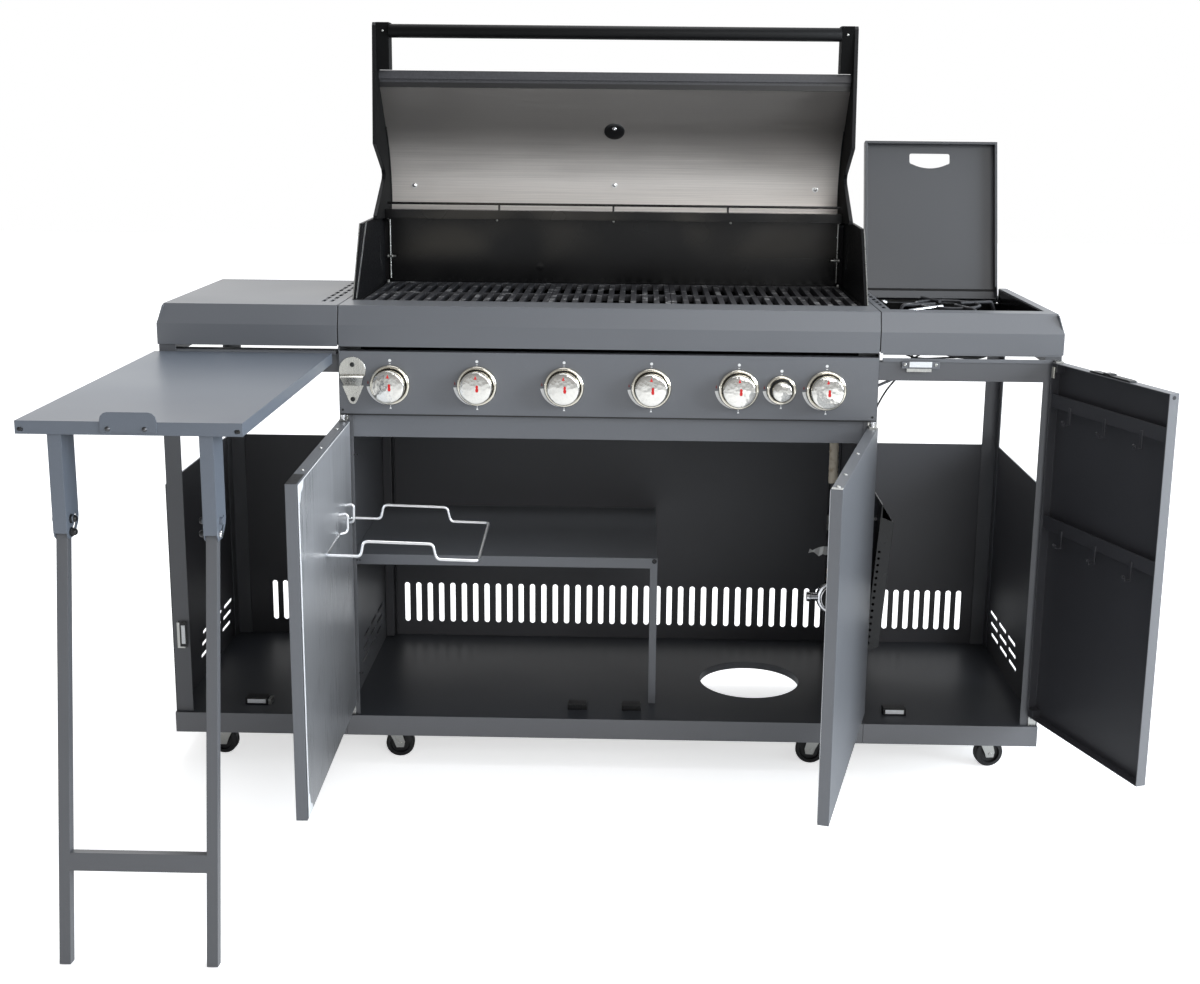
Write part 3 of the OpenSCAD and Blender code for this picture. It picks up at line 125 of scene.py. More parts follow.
def make_hose():
    """The hose goes back from the manifold's spout, then hangs to the regulator."""
    route = [(0.440, y, z) for y, z in (
        (0.066, 0.690), (0.092, 0.690), (0.116, 0.690), (0.140, 0.690), (0.1555, 0.688), (0.170, 0.682),
        (0.1824, 0.6724), (0.192, 0.660), (0.198, 0.6455))]
    route += [(0.4394, 0.200, 0.630), (0.438, 0.200, 0.612)]
    route += [(0.437, 0.200, z) for z in (0.596, 0.560, 0.515, 0.480, 0.440, 0.400, 0.370, 0.340)]
    places = eased(route, 2)
    curve = bpy.data.curves.new("gas_hose_tube", "CURVE")
    curve.dimensions = "3D"
    curve.bevel_depth = 1.0
    curve.bevel_resolution = 5
    curve.use_fill_caps = True
    line = curve.splines.new("POLY")
    line.points.add(len(places) - 1)
    for point, place in zip(line.points, places):
        point.co = (*place, 1)
        point.radius = 0.0075
    line.use_smooth = True
    hose = placed("gas_hose_tube", curve)
    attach(hose, "cart")
    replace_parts(hose, "gas_hose")
    return hose, places[0], sum((b - a).length for a, b in zip(places, places[1:]))


hose, hose_exit, hose_length = make_hose()


# ---- shader maths ----

class Val:
    """A socket that takes part in Python expressions."""

    def __init__(self, tree, socket):
        self.tree = tree
        self.socket = socket

    def node(self, kind, settings=None, **inputs):
        made = self.tree.nodes.new(kind)
        for key, value in (settings or {}).items():
            setattr(made, key, value)
        for key, value in inputs.items():
            name = int(key[1:]) if key[0] == "i" and key[1:].isdigit() else key.replace("_", " ")
            put(self.tree, made.inputs[name], value)
        return made

    def out(self, kind, settings=None, socket=0, **inputs):
        return Val(self.tree, self.node(kind, settings, **inputs).outputs[socket])

    def math(self, operation, other=0.0, flip=False):
        a, b = (other, self) if flip else (self, other)
        return self.out("ShaderNodeMath", {"operation": operation}, i0=a, i1=b)

    def __add__(self, other): return self.math("ADD", other)
    def __radd__(self, other): return self.math("ADD", other)
    def __sub__(self, other): return self.math("SUBTRACT", other)
    def __rsub__(self, other): return self.math("SUBTRACT", other, flip=True)
    def __mul__(self, other): return self.math("MULTIPLY", other)
    def __rmul__(self, other): return self.math("MULTIPLY", other)

    def abs(self):
        return self.math("ABSOLUTE")

    def most(self, other):
        return self.math("MAXIMUM", other)

    def ramp(self, low, high, start=0.0, end=1.0):
        """This value taken smoothly from low..high to start..end, with no overshoot."""
        settings = {"interpolation_type": "SMOOTHSTEP", "clamp": True}
        return self.out("ShaderNodeMapRange", settings, i0=self, i1=low, i2=high, i3=start, i4=end)


def put(tree, socket, value):
    if isinstance(value, Val):
        tree.links.new(value.socket, socket)
    else:
        socket.default_value = value


def rgb(red, green, blue):
    """A screen colour, 0 to 255 a channel, as the linear one that the shader takes."""
    return tuple((c / 255) ** 2.2 for c in (red, green, blue)) + (1.0,)


def toned(shade, times, lift=0.0):
    """The same colour made lighter or darker."""
    return tuple(min(1.0, c * times + lift) for c in shade[:3]) + (1.0,)


class Finish:
    """A material in the making: places on the object, patterns, and one Principled shader."""

    def __init__(self, name):
        self.material = bpy.data.materials.new(name)
        self.material.use_nodes = True
        self.tree = self.material.node_tree
        self.shader = self.tree.nodes["Principled BSDF"]
        self.place = Val(self.tree, self.tree.nodes.new("ShaderNodeTexCoord").outputs["Object"])
        self.normal = None

    def split(self, vector=None):
        made = (vector or self.place).node("ShaderNodeSeparateXYZ", i0=vector or self.place)
        return [Val(self.tree, s) for s in made.outputs]

    def stretched(self, x, y, z):
        """The place with each direction scaled, for grain that runs one way."""
        return self.place.out("ShaderNodeMapping", i0=self.place, Scale=(x, y, z))

    def noise(self, scale, detail=3.0, rough=0.5, place=None):
        return self.place.out("ShaderNodeTexNoise", Vector=place or self.place, Scale=scale, Detail=detail,
                              Roughness=rough)

    def cells(self, scale):
        return self.place.out("ShaderNodeTexVoronoi", socket="Distance", Vector=self.place, Scale=scale)

    def blend(self, amount, low, high):
        """A colour between two colours."""
        return self.place.out("ShaderNodeMix", {"data_type": "RGBA"}, 2, i0=amount, i6=low, i7=high)

    def facing(self):
        """The surface's own direction in the object's frame, as three numbers."""
        return self.split(self.place.out("ShaderNodeNewGeometry", socket="Normal"))

    def soft_edges(self, radius):
        """Rounded look along folded edges."""
        self.normal = self.place.out("ShaderNodeBevel", {"samples": 6}, Radius=radius)

    def bump(self, height, depth, strength=1.0):
        made = self.place.node("ShaderNodeBump", Height=height, Distance=depth, Strength=strength)
        if self.normal is not None:
            put(self.tree, made.inputs["Normal"], self.normal)
        self.normal = Val(self.tree, made.outputs[0])

    def done(self, **inputs):
        for key, value in inputs.items():
            put(self.tree, self.shader.inputs[key.replace("_", " ")], value)
        if self.normal is not None:
            put(self.tree, self.shader.inputs["Normal"], self.normal)
        return self.material


# ---- finishes ----

def looks_up(f):
    """1 on faces that look up."""
    return f.facing()[2].ramp(0.6, 0.95)


def inside_side_door(f):
    """1 on what lies within the side door's pan, worked out in the door's closed place."""
    x, y, z = f.split()
    turn = radians(side_turn)
    dx, dy = x - side_pin * mm, y - pin_y * mm
    across = dx * cos(turn) + dy * sin(turn) + side_pin * mm
    out = dy * cos(turn) - dx * sin(turn) + pin_y * mm
    return (out.ramp(-0.0187, -0.0185) * across.ramp(0.4908, 0.4912) * across.ramp(0.8068, 0.8072, 1, 0)
            * z.ramp(0.1208, 0.1212) * z.ramp(0.7868, 0.7872, 1, 0))


def inner_face(f):
    """1 on the faces of the hood's ends that look into the hood."""
    return f.split()[0].abs().ramp(0.4603, 0.4608, 1, 0)


def near_edge(f):
    """1 along the table's front, 0 from its middle back."""
    return f.split()[1].ramp(-0.62, -0.28, 1, 0) * looks_up(f)


def coat(name, shade, rough=0.42, painted_shade_colour=None, where=None):
    """Powder coat: a faint orange peel, slight cloudiness, pale specks, and a second, darker colour as painted shade
    on the faces a mask picks.
    """
    f = Finish(name)
    cloud = f.noise(3.0, 2.0)
    speck = f.noise(900.0, 1.0)
    base = f.blend(cloud.ramp(0.3, 0.7), toned(shade, 0.93), shade)
    base = f.blend(speck.ramp(0.62, 0.78, 0, 0.18), base, toned(shade, 1.8))
    f.soft_edges(1.2 * mm)
    # painted shade: a second, darker colour goes on the faces that where picks
    if where:
        base = f.blend(where(f), base, painted_shade_colour)
    f.bump(f.cells(650.0) + 0.5 * speck, 0.05 * mm, 0.5)
    dull = cloud.ramp(0.2, 0.8, rough - 0.04, rough + 0.05)
    return f.done(Base_Color=base, Roughness=dull, Specular_IOR_Level=0.5)


def gloss_enamel(name, shade, rough=0.16):
    """Glossy stove enamel: slow waves, shallow dents, small specks, and brownish patches high up as a painted
    reflection.
    """
    f = Finish(name)
    wave = f.noise(7.0, 2.0)
    dust = f.noise(420.0, 2.0)
    f.soft_edges(1.0 * mm)
    f.bump(wave, 1.6 * mm, 0.6)
    f.bump(dust, 0.04 * mm, 0.3)
    # painted reflection: brownish patches on the higher parts
    tint = f.noise(5.0, 1.0).ramp(0.42, 0.66) * f.split()[2].ramp(0.90, 0.95)
    dents = f.cells(9.0).ramp(0.0, 0.10, 1, 0)
    f.bump(dents, 1.2 * mm, 0.7)
    base = f.blend(dust.ramp(0.6, 0.75, 0, 0.3), shade, toned(shade, 2.2, 0.004))
    base = f.blend(tint * 0.9, base, rgb(54, 51, 46))
    return f.done(Base_Color=base, Roughness=wave.ramp(0.2, 0.8, rough, rough + 0.14), Specular_IOR_Level=0.4)


def satin_paint(name, shade, rough=0.38, sheen=0.5, shut=None):
    """Satin paint on castings: a little sand texture shows through, and shut picks out faces that go near black and
    dull as painted shade.
    """
    f = Finish(name)
    sand = f.noise(260.0, 3.0)
    f.soft_edges(1.6 * mm)
    f.bump(sand, 0.09 * mm, 0.5)
    base = f.blend(sand.ramp(0.35, 0.7), shade, toned(shade, 1.3))
    dull = sand.ramp(0.2, 0.8, rough - 0.06, rough + 0.08)
    # painted shade: the faces that shut picks go near black
    if shut:
        painted_shade_faces = shut(f)
        base = f.blend(painted_shade_faces, base, rgb(7, 7, 7))
        dull = dull.most(0.9 * painted_shade_faces)
    return f.done(Base_Color=base, Roughness=dull, Specular_IOR_Level=sheen)


def cast_iron(name):
    """Enamelled cast iron: rough grain, and rubbed bright spots where bars and ribs cross."""
    f = Finish(name)
    grain = f.noise(330.0, 4.0, 0.65)
    rubbed = f.noise(34.0, 2.0)
    up = f.facing()[2]
    worn = rubbed.ramp(0.56, 0.66) * up.ramp(0.6, 0.9) * grain.ramp(0.40, 0.60)
    f.soft_edges(1.4 * mm)
    f.bump(grain, 0.25 * mm, 0.6)
    base = f.blend(worn, rgb(48, 48, 51), rgb(168, 168, 168))
    return f.done(Base_Color=base, Roughness=worn.ramp(0, 1, 0.5, 0.3), Specular_IOR_Level=0.45)


def brushed(name, shade, grain, rough=0.32, depth=0.02, metal=1.0, painted_shade_fade=None):
    """Brushed sheet: fine lines along one direction, given as three scales, and slow waves in the sheet; an optional
    fade darkens it towards one height as painted shade.
    """
    f = Finish(name)
    lines = f.noise(1.0, 4.0, 0.7, f.stretched(*grain))
    haze = f.noise(4.0, 2.0)
    f.bump(haze, 2.5 * mm, 0.35)
    f.bump(lines, depth * mm, 0.4)
    base = f.blend(lines.ramp(0.3, 0.7), toned(shade, 0.82), shade)
    # painted shade: darker towards one height
    if painted_shade_fade:
        low, high, dim = painted_shade_fade
        base = f.blend(f.split()[2].ramp(low, high), toned(shade, dim), base)
    roughness = lines.ramp(0.3, 0.7, rough - 0.06, rough + 0.08) + haze.ramp(0.3, 0.7, -0.03, 0.05)
    return f.done(Base_Color=base, Metallic=metal, Roughness=roughness)


def shiny(name, shade, rough):
    """Plated metal with faint smears."""
    f = Finish(name)
    smear = f.noise(60.0, 3.0)
    f.soft_edges(0.5 * mm)
    return f.done(Base_Color=shade, Metallic=1.0, Roughness=smear.ramp(0.3, 0.75, rough, rough + 0.08))


def plated(name, shade, rough):
    """Chrome over a pressing: long shallow waves bend what it reflects."""
    f = Finish(name)
    wave = f.noise(42.0, 2.0)
    smear = f.noise(240.0, 2.0)
    f.bump(wave, 1.1 * mm, 0.35)
    f.bump(f.cells(150.0), 0.5 * mm, 0.45)
    return f.done(Base_Color=f.blend(smear.ramp(0.4, 0.8), shade, toned(shade, 0.9)),
                  Metallic=1.0, Roughness=smear.ramp(0.3, 0.75, rough, rough + 0.07))


def black_rubber(name, shade, rough=0.6):
    """Rubber with a fine skin and dusty patches."""
    f = Finish(name)
    skin = f.noise(500.0, 2.0)
    dust = f.noise(24.0, 3.0)
    f.bump(skin, 0.05 * mm, 0.5)
    base = f.blend(dust.ramp(0.45, 0.75, 0, 0.5), shade, toned(shade, 1.9, 0.006))
    return f.done(Base_Color=base, Roughness=dust.ramp(0.3, 0.8, rough - 0.08, rough + 0.1))


def plastic(name, shade, rough=0.35):
    """Moulded plastic, film or print with a fine skin."""
    f = Finish(name)
    skin = f.noise(300.0, 2.0)
    f.bump(skin, 0.03 * mm, 0.4)
    return f.done(Base_Color=f.blend(skin.ramp(0.3, 0.8), shade, toned(shade, 0.9)),
                  Roughness=skin.ramp(0.2, 0.8, rough - 0.05, rough + 0.06))


def woven_sleeve(name, shade):
    """Crinkled glass-cloth sleeve: folds across, a fine weave and a few brown smudges."""
    f = Finish(name)
    folds = f.noise(1.0, 3.0, 0.6, f.stretched(60, 60, 260))
    weave = f.noise(1500.0, 1.0)
    smudge = f.noise(70.0, 3.0)
    f.bump(folds, 1.2 * mm, 0.8)
    f.bump(weave, 0.1 * mm, 0.4)
    base = f.blend(smudge.ramp(0.5, 0.75, 0, 0.6), shade, rgb(150, 126, 96))
    return f.done(Base_Color=base, Roughness=weave.ramp(0.2, 0.8, 0.75, 0.9))


paint = coat("grey_powder_coat", rgb(100, 102, 106), 0.36)
paint_lid = coat("grey_powder_coat_lid", rgb(66, 67, 70), 0.42)
# painted shade: the table's top is darker along its front edge
paint_table_with_painted_shade = coat("grey_powder_coat_table_with_painted_shade", rgb(98, 104, 113), 0.32, rgb(78, 84, 94), near_edge)
paint_leg = coat("grey_powder_coat_leg", rgb(90, 91, 94), 0.36)
# painted shade: the floor pans' upward faces are darker, for the shade inside the cabinet
paint_floor_with_painted_shade = coat("grey_powder_coat_floor_with_painted_shade", rgb(106, 107, 110), 0.4, rgb(56, 58, 62), looks_up)
# painted shade: the inside of the side door's pan is darker, for the shade there
paint_side_door_with_painted_shade = coat("grey_powder_coat_side_door_with_painted_shade", rgb(106, 107, 110), 0.38, rgb(52, 52, 55), inside_side_door)
# painted shade: a darker copy of the grey coat for the shaded inside of the cabinet
paint_inside_as_painted_shade = coat("grey_powder_coat_inside_as_painted_shade", rgb(68, 68, 71), 0.48)
paint_frame = coat("grey_powder_coat_frame", rgb(86, 87, 90), 0.42)
enamel = gloss_enamel("black_enamel_with_painted_reflection", rgb(13, 13, 14))
shell_paint = satin_paint("hood_paint", rgb(58, 58, 61), 0.4)
casting = satin_paint("charcoal_casting", rgb(17, 17, 19), 0.46, 0.22)
hood_casting_with_painted_shade = satin_paint("charcoal_hood_ends_with_painted_shade", rgb(17, 17, 19), 0.46, 0.22, inner_face)
handle_paint = satin_paint("handle_paint", rgb(10, 10, 11), 0.5, 0.2)
iron = cast_iron("cast_iron_grate")
# painted shade: the hood's liner darkens towards the top, the door liners towards the bottom
liner_metal = brushed("brushed_liner_with_painted_shade", rgb(236, 230, 224), (4.0, 900.0, 900.0), 0.4, 0.012, 0.85,
                      painted_shade_fade=(1.19, 1.11, 0.5))
burner_metal = brushed("burner_steel", rgb(170, 168, 163), (200.0, 6.0, 200.0), 0.34)
door_metal = brushed("door_liner_steel_with_painted_shade", rgb(226, 228, 232), (320.0, 320.0, 3.0), 0.3, 0.02, 0.72,
                     painted_shade_fade=(0.40, 0.62, 0.55))
chrome = shiny("chrome", rgb(228, 228, 230), 0.05)
zinc = shiny("zinc_plate", rgb(186, 186, 182), 0.26)
wire_metal = shiny("chromed_wire", rgb(240, 240, 240), 0.28)
hose_skin = black_rubber("hose_rubber", rgb(20, 20, 21), 0.5)
tyre_rubber = black_rubber("wheel_rubber", rgb(24, 24, 25), 0.45)
black = plastic("black_plastic", rgb(26, 26, 27))
knob_metal = plated("knob_plate", rgb(228, 226, 220), 0.09)
bezel_metal = shiny("bezel_chrome", rgb(226, 221, 208), 0.06)
hem_metal = shiny("bright_hem", rgb(238, 238, 236), 0.3)
pale_metal = shiny("pale_plate", rgb(225, 222, 210), 0.35)
dark_metal = shiny("dark_bolt", rgb(96, 96, 98), 0.3)
brass = shiny("brass", rgb(206, 160, 96), 0.25)
opener_metal = brushed("opener_steel", rgb(226, 224, 216), (900.0, 900.0, 14.0), 0.2)
# painted shade: a dark copy of the grey coat for the shaded inside of the side door
painted_shade_coat = coat("side_door_inner_painted_shade", rgb(48, 48, 51), 0.55)
grey_sleeve = plastic("grey_sleeve", rgb(120, 122, 126), 0.5)
wire_rubber = plastic("lead_rubber", rgb(16, 16, 17), 0.4)
white_print = plastic("white_print", rgb(226, 226, 226), 0.5)
red_print = plastic("red_print", rgb(206, 24, 26), 0.35)
dark_red_print = plastic("dark_red_print", rgb(112, 30, 32), 0.5)
pale_film = plastic("pale_corner_film", rgb(222, 224, 226), 0.4)
# painted highlight: a pale coat for the lit top edges of the side panels
highlight_coat = coat("painted_highlight_edge", rgb(150, 155, 162), 0.3)
clear_film = plastic("clear_film", rgb(186, 186, 184), 0.2)
cream_cloth = woven_sleeve("cream_sleeve", rgb(206, 196, 178))


def wear(piece, finish):
    piece.data.materials.clear()
    piece.data.materials.append(finish)


for names, finish in (
    ("left_shelf right_shelf centre_fascia control_panel header_rail left_door right_door inner_shelf", paint),
    ("table_top table_channels", paint_table_with_painted_shade),
    ("leg_frame", paint_leg),
    ("side_lid", paint_lid),
    ("side_door", paint_side_door_with_painted_shade),
    ("base_centre_pan base_side_pans", paint_floor_with_painted_shade),
    ("cart_frame partitions", paint_frame),
    ("back_panels side_panels", paint_inside_as_painted_shade),
    ("firebox side_burner rear_rail condiment_basket", enamel),
    ("hood_shell", shell_paint),
    ("hood_ends", hood_casting_with_painted_shade),
    ("firebox_cheeks", casting),
    ("hood_handle", handle_paint),
    ("cooking_grates", iron),
    ("hood_liner", liner_metal),
    ("burners flame_tamers grease_tray", burner_metal),
    ("gas_regulator bottle_opener", chrome),
    ("wire_holder", wire_metal),
    ("gas_manifold hose_fittings door_hardware table_hinge", zinc),
):
    for node in names.split():
        wear(nodes[node], finish)
for start, finish in (("knob_", chrome), ("caster_fork", zinc), ("caster_wheel", tyre_rubber)):
    for node in nodes:
        if node.startswith(start):
            wear(nodes[node], finish)


# ---- making meshes ----

def arc(x, y, radius, start, end, steps):
    """Places along an arc, angles in degrees."""
    turns = [radians(start + (end - start) * k / steps) for k in range(steps + 1)]
    return [(x + radius * cos(a), y + radius * sin(a)) for a in turns]


def at(x, y, outline):
    """An outline moved to a place."""
    return [(x + u, y + v) for u, v in outline]


def span(s, a, b):
    """The ends of a stretch on the left, where s is -1, or on the right, the lower first."""
    return sorted((s * a, s * b))


def square_to(axis):
    """The axis at length 1, and two directions square to it and to each other."""
    axis = Vector(axis).normalized()
    side = axis.orthogonal().normalized()
    return axis, side, axis.cross(side)


def circle(middle, side, other, radius, sides):
    return [middle + (side * cos(k * tau / sides) + other * sin(k * tau / sides)) * radius
            for k in range(sides)]


class Shape:
    """Parts in millimetres, gathered into one mesh."""

    def __init__(self):
        self.mesh = bmesh.new()

    def skin(self, rings, closed=False):
        """Walls between rings of as many corners each, with flat ends unless the run closes on itself."""
        made = [[self.mesh.verts.new(p) for p in ring] for ring in rings]
        pairs = list(zip(made, made[1:])) + ([(made[-1], made[0])] if closed else [])
        for low, high in pairs:
            for k in range(len(low)):
                n = (k + 1) % len(low)
                self.mesh.faces.new((low[k], low[n], high[n], high[k]))
        if not closed:
            self.mesh.faces.new(made[0][::-1])
            self.mesh.faces.new(made[-1])
        return self

    def prism(self, outline, axis, low, high):
        """An outline in the two other directions, drawn out along one."""
        turn = {"x": (2, 0, 1), "y": (0, 2, 1), "z": (0, 1, 2)}[axis]
        return self.skin([[[(u, v, w)[k] for k in turn] for u, v in outline] for w in (low, high)])

    def block(self, a, b):
        return self.prism([(a[0], a[1]), (b[0], a[1]), (b[0], b[1]), (a[0], b[1])], "z", a[2], b[2])

    def turned(self, profile, centre, axis=(0, -1, 0), sides=48):
        """A profile of radius and height, turned about an axis that starts at the centre."""
        axis, side, other = square_to(axis)
        tip = 0.02
        return self.skin([circle(Vector(centre) + axis * height, side, other, max(radius, tip), sides)
                          for radius, height in profile])

    def ring(self, profile, centre, sides=64):
        """The same, facing forward, for a profile that closes on itself round a hole."""
        axis, side, other = square_to((0, -1, 0))
        rounds = [circle(Vector(centre) + axis * height, side, other, radius, sides) for radius, height in profile]
        return self.skin(list(zip(*rounds)), closed=True)

    def tube(self, points, radius, sides=12, closed=False):
        """A round tube along places; the radius may change along it."""
        points = [Vector(p) for p in points]
        rings = []
        side = None
        for k, point in enumerate(points):
            before = points[k - 1] if k or closed else point
            after = points[(k + 1) % len(points)] if k + 1 < len(points) or closed else point
            ahead = (after - before).normalized()
            if side is None:
                side = ahead.orthogonal().normalized()
            side = (side - ahead * side.dot(ahead)).normalized()
            other = ahead.cross(side)
            size = radius[k] if isinstance(radius, (list, tuple)) else radius
            rings.append(circle(point, side, other, size, sides))
        return self.skin(rings, closed=closed)

    def plate(self, outline, hole, low, high):
        """A flat sheet in X and Y with a hole through it."""
        curve = bpy.data.curves.new("sheet", "CURVE")
        curve.dimensions = "2D"
        curve.fill_mode = "BOTH"
        curve.extrude = (high - low) / 2
        for line in (outline, hole):
            spline = curve.splines.new("POLY")
            spline.points.add(len(line) - 1)
            for point, (x, y) in zip(spline.points, line):
                point.co = (x, y, 0, 1)
            spline.use_cyclic_u = True
        holder = bpy.data.objects.new("sheet", curve)
        mesh = bpy.data.meshes.new_from_object(holder)
        mesh.transform(Matrix.Translation((0, 0, (low + high) / 2)))
        self.mesh.from_mesh(mesh)
        bmesh.ops.remove_doubles(self.mesh, verts=self.mesh.verts, dist=0.001)
        bpy.data.objects.remove(holder)
        bpy.data.curves.remove(curve)
        bpy.data.meshes.remove(mesh)
        return self

    def screw(self, centre, radius, tall, axis=(0, -1, 0)):
        """A low round head with a driver recess."""
        head = [(radius, -0.4)] + [(wide * radius, high * tall) for wide, high in (
            (1, 0.3), (0.86, 0.72), (0.55, 1), (0.3, 1), (0.22, 0.3), (0, 0.3))]
        return self.turned(head, centre, axis, 20)

    def screws(self, centres, radius, tall, axis=(0, -1, 0)):
        for centre in centres:
            self.screw(centre, radius, tall, axis)
        return self

    def studs(self, profile, centres, axis=(0, -1, 0), sides=24):
        """The same small turned part at several places."""
        for centre in centres:
            self.turned(profile, centre, axis, sides)
        return self

    def piece(self, name, finish, body="cart", place=None, bevel=0.0, angle=38):
        if place is not None:
            self.mesh.transform(place)
        self.mesh.transform(Matrix.Scale(mm, 4))
        bmesh.ops.recalc_face_normals(self.mesh, faces=self.mesh.faces)
        data = bpy.data.meshes.new(name)
        self.mesh.to_mesh(data)
        self.mesh.free()
        for polygon in data.polygons:
            polygon.use_smooth = True
        data.set_sharp_from_angle(angle=radians(angle))
        data.materials.append(finish)
        made = placed(name, data)
        if bevel:
            edge = made.modifiers.new("edges", "BEVEL")
            edge.width = bevel * mm
            edge.segments = 2
            edge.limit_method = "ANGLE"
        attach(made, body)
        return made


def swing(pin, degrees, axis="Z"):
    """The move about a pin from a shut place to the place where the part stands open."""
    pin = Vector(pin)
    return Matrix.Translation(pin) @ Matrix.Rotation(radians(degrees), 4, axis) @ Matrix.Translation(-pin)


# the body that a door's pieces ride on, and their move
on_left = ("left_door", swing((left_pin, pin_y, 0), left_turn))
on_right = ("right_door", swing((right_pin, pin_y, 0), right_turn))
on_side = ("side_door", swing((side_pin, pin_y, 0), side_turn))


# ---- knobs and control panel ----

panel_y = -3
panel_z = 731
knob_pitch = 156.6
# name, place across, radius of the bezel, radius of the cap
stations = [(f"knob_{k + 1}", (k - 2.5) * knob_pitch, 35, 29.5) for k in range(6)]
stations.append(("knob_side", 2 * knob_pitch - 2, 25.5, 18))


def make_knobs():
    """Plated caps with a shallow dome, each in a bright bezel over a black well of painted shade."""
    bezels, wells, prints, flames = Shape(), Shape(), Shape(), Shape()
    for name, x, bezel_r, cap_r in stations:
        centre = (x, panel_y, panel_z)
        inner = bezel_r - 4.9
        rim = [(inner + 3 - 3 * cos(radians(a)), 4.6 + 3.2 * sin(radians(a))) for a in range(0, 181, 15)]
        bezels.ring([(inner, 3.0)] + rim + [(inner + 6, 0.1), (inner - 2, 0.1)], centre, sides=96)
        # painted shade: a black ring at the floor of the gap round each cap
        wells.ring([(8.5, 2.9), (inner, 2.9), (inner, 0.2), (8.5, 0.2)], centre)
        cap = [(0, 3.4)] + [(cap_r - inset, high) for inset, high in (
            (2, 3.4), (0.5, 5), (0.1, 6.5), (0.4, 25.0), (0.6, 26.3), (1.2, 27.3), (2.2, 28.0), (4.2, 28.5))]
        cap += [(cap_r * 0.62, 29.0), (cap_r * 0.34, 29.5), (0, 29.8)]
        Shape().turned(cap, centre, sides=96).turned([(4, -24), (4, 4)], centre, sides=24).piece(
            name + "_cap", knob_metal, name + "_body")
        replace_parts(bpy.data.objects[name + "_cap"], name)
        if name != "knob_side":
            marks = Shape()
            for out, outline in (
                (29.0, [(-2.7, 16.4), (2.7, 16.4), (0, 23.4)]),
                (29.6, [(0.6, -6.6), (4.8, -6.6), (5.5, -2.4), (4.6, 0.4), (5.2, 3.0), (4.2, 6.0), (1.2, 6.0),
                        (0.2, 3.0), (0.8, 0.4), (-0.1, -2.4)]),
            ):
                y = panel_y - out
                marks.prism(at(x, panel_z, outline), "y", y - 0.3, y + 1)
            marks.piece(name + "_marks", red_print, name + "_body")
        # printed marks on the panel: a dot and a tick above, a fading arc from the left to the foot
        face = panel_y - 0.15
        reach = bezel_r + (9 if bezel_r > 30 else 8.5)
        prints.turned([(2.7, 0), (2.7, 0.12)], (x, panel_y, panel_z + reach), sides=24)
        for z, outline in (
            (panel_z + reach, [(-1.6, -6.2), (1.6, -6.2), (1.6, -5.2), (-1.6, -5.2)]),
            (panel_z - bezel_r, [(-0.5, -2.6), (0.7, -2.6), (0.7, -4.8), (-0.5, -4.8)]),
            (panel_z - bezel_r, [(-1.7, -9.0), (1.9, -9.0), (1.3, -6.6), (0.1, -5.4), (-1.1, -6.6)]),
        ):
            prints.prism(at(x, z, outline), "y", face, panel_y)
        outer, inside = [], []
        steps = 24
        for k in range(steps + 1):
            t = k / steps
            a = radians(185 + 72 * t)
            wide = 4.9 * (1 - t) ** 0.8 + 0.8
            r = bezel_r + 2.1 - 0.9 * t
            for run, far in ((inside, r), (outer, r + wide)):
                run.append((x + far * cos(a), panel_z + far * sin(a)))
        for k in range(steps):
            prints.prism([outer[k], outer[k + 1], inside[k + 1], inside[k]], "y", face, panel_y)
        flames.prism(at(x - bezel_r - 5, panel_z, [(-1.3, 1.4), (1.3, 1.4), (1.0, 4.4), (0, 7.4), (-1.0, 4.4)]),
                     "y", face, panel_y)
    made = bezels.piece("knob_bezel_rings", bezel_metal)
    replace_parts(made, "knob_bezels")
    wells.piece("knob_wells_painted_shade", black)
    prints.piece("panel_marks", white_print)
    flames.piece("panel_flame_marks", dark_red_print)


def make_panel_details():
    """Screws, a black strip of painted shadow at the panel's foot, and the wires that leave it at the right."""
    dark = Shape()
    dark.screws([(-459, panel_y - 1.9, z) for z in (panel_z + 36, panel_z - 27)], 4.4, 2.4)
    dark.screw((476, panel_y, 683), 2.2, 1.0)
    dark.screw((-478, panel_y, 684), 2.0, 1.0)
    dark.piece("panel_screws", black)
    # painted shadow: a black strip under the panel's foot
    (left, _, foot), (right, _, _) = in_mm(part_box("control_panel"))
    Shape().block((left + 1, panel_y - 0.2, foot - 2.4), (right - 1, panel_y + 3, foot + 0.2)).piece(
        "panel_foot_painted_shadow", black)
    # ignition leads and a grey tube that leave the panel at the right, and the bundle over the rail
    wires = Shape()
    for run in (((486, 40, 676), (492, 56, 690), (507, 60, 718), (524, 60, 741), (548, 70, 762), (560, 90, 790)),
                ((600, 60, 803), (582, 80, 792), (566, 96, 778), (548, 92, 770), (536, 70, 778)),
                ((520, 90, 800), (545, 92, 784), (575, 95, 776), (618, 98, 777), (650, 100, 780), (668, 104, 800))):
        wires.tube(eased(run, 8), 1.7, 8)
    wires.tube(eased([(610, 100, 803), (622, 98, 786), (650, 98, 780), (690, 100, 781), (720, 104, 800)], 8), 4.2, 12)
    wires.piece("ignition_leads", wire_rubber)
    Shape().tube([(480, 60, 724), (517, 60, 741), (548, 66, 756)], 2.6, 12).piece("grey_tube", grey_sleeve)


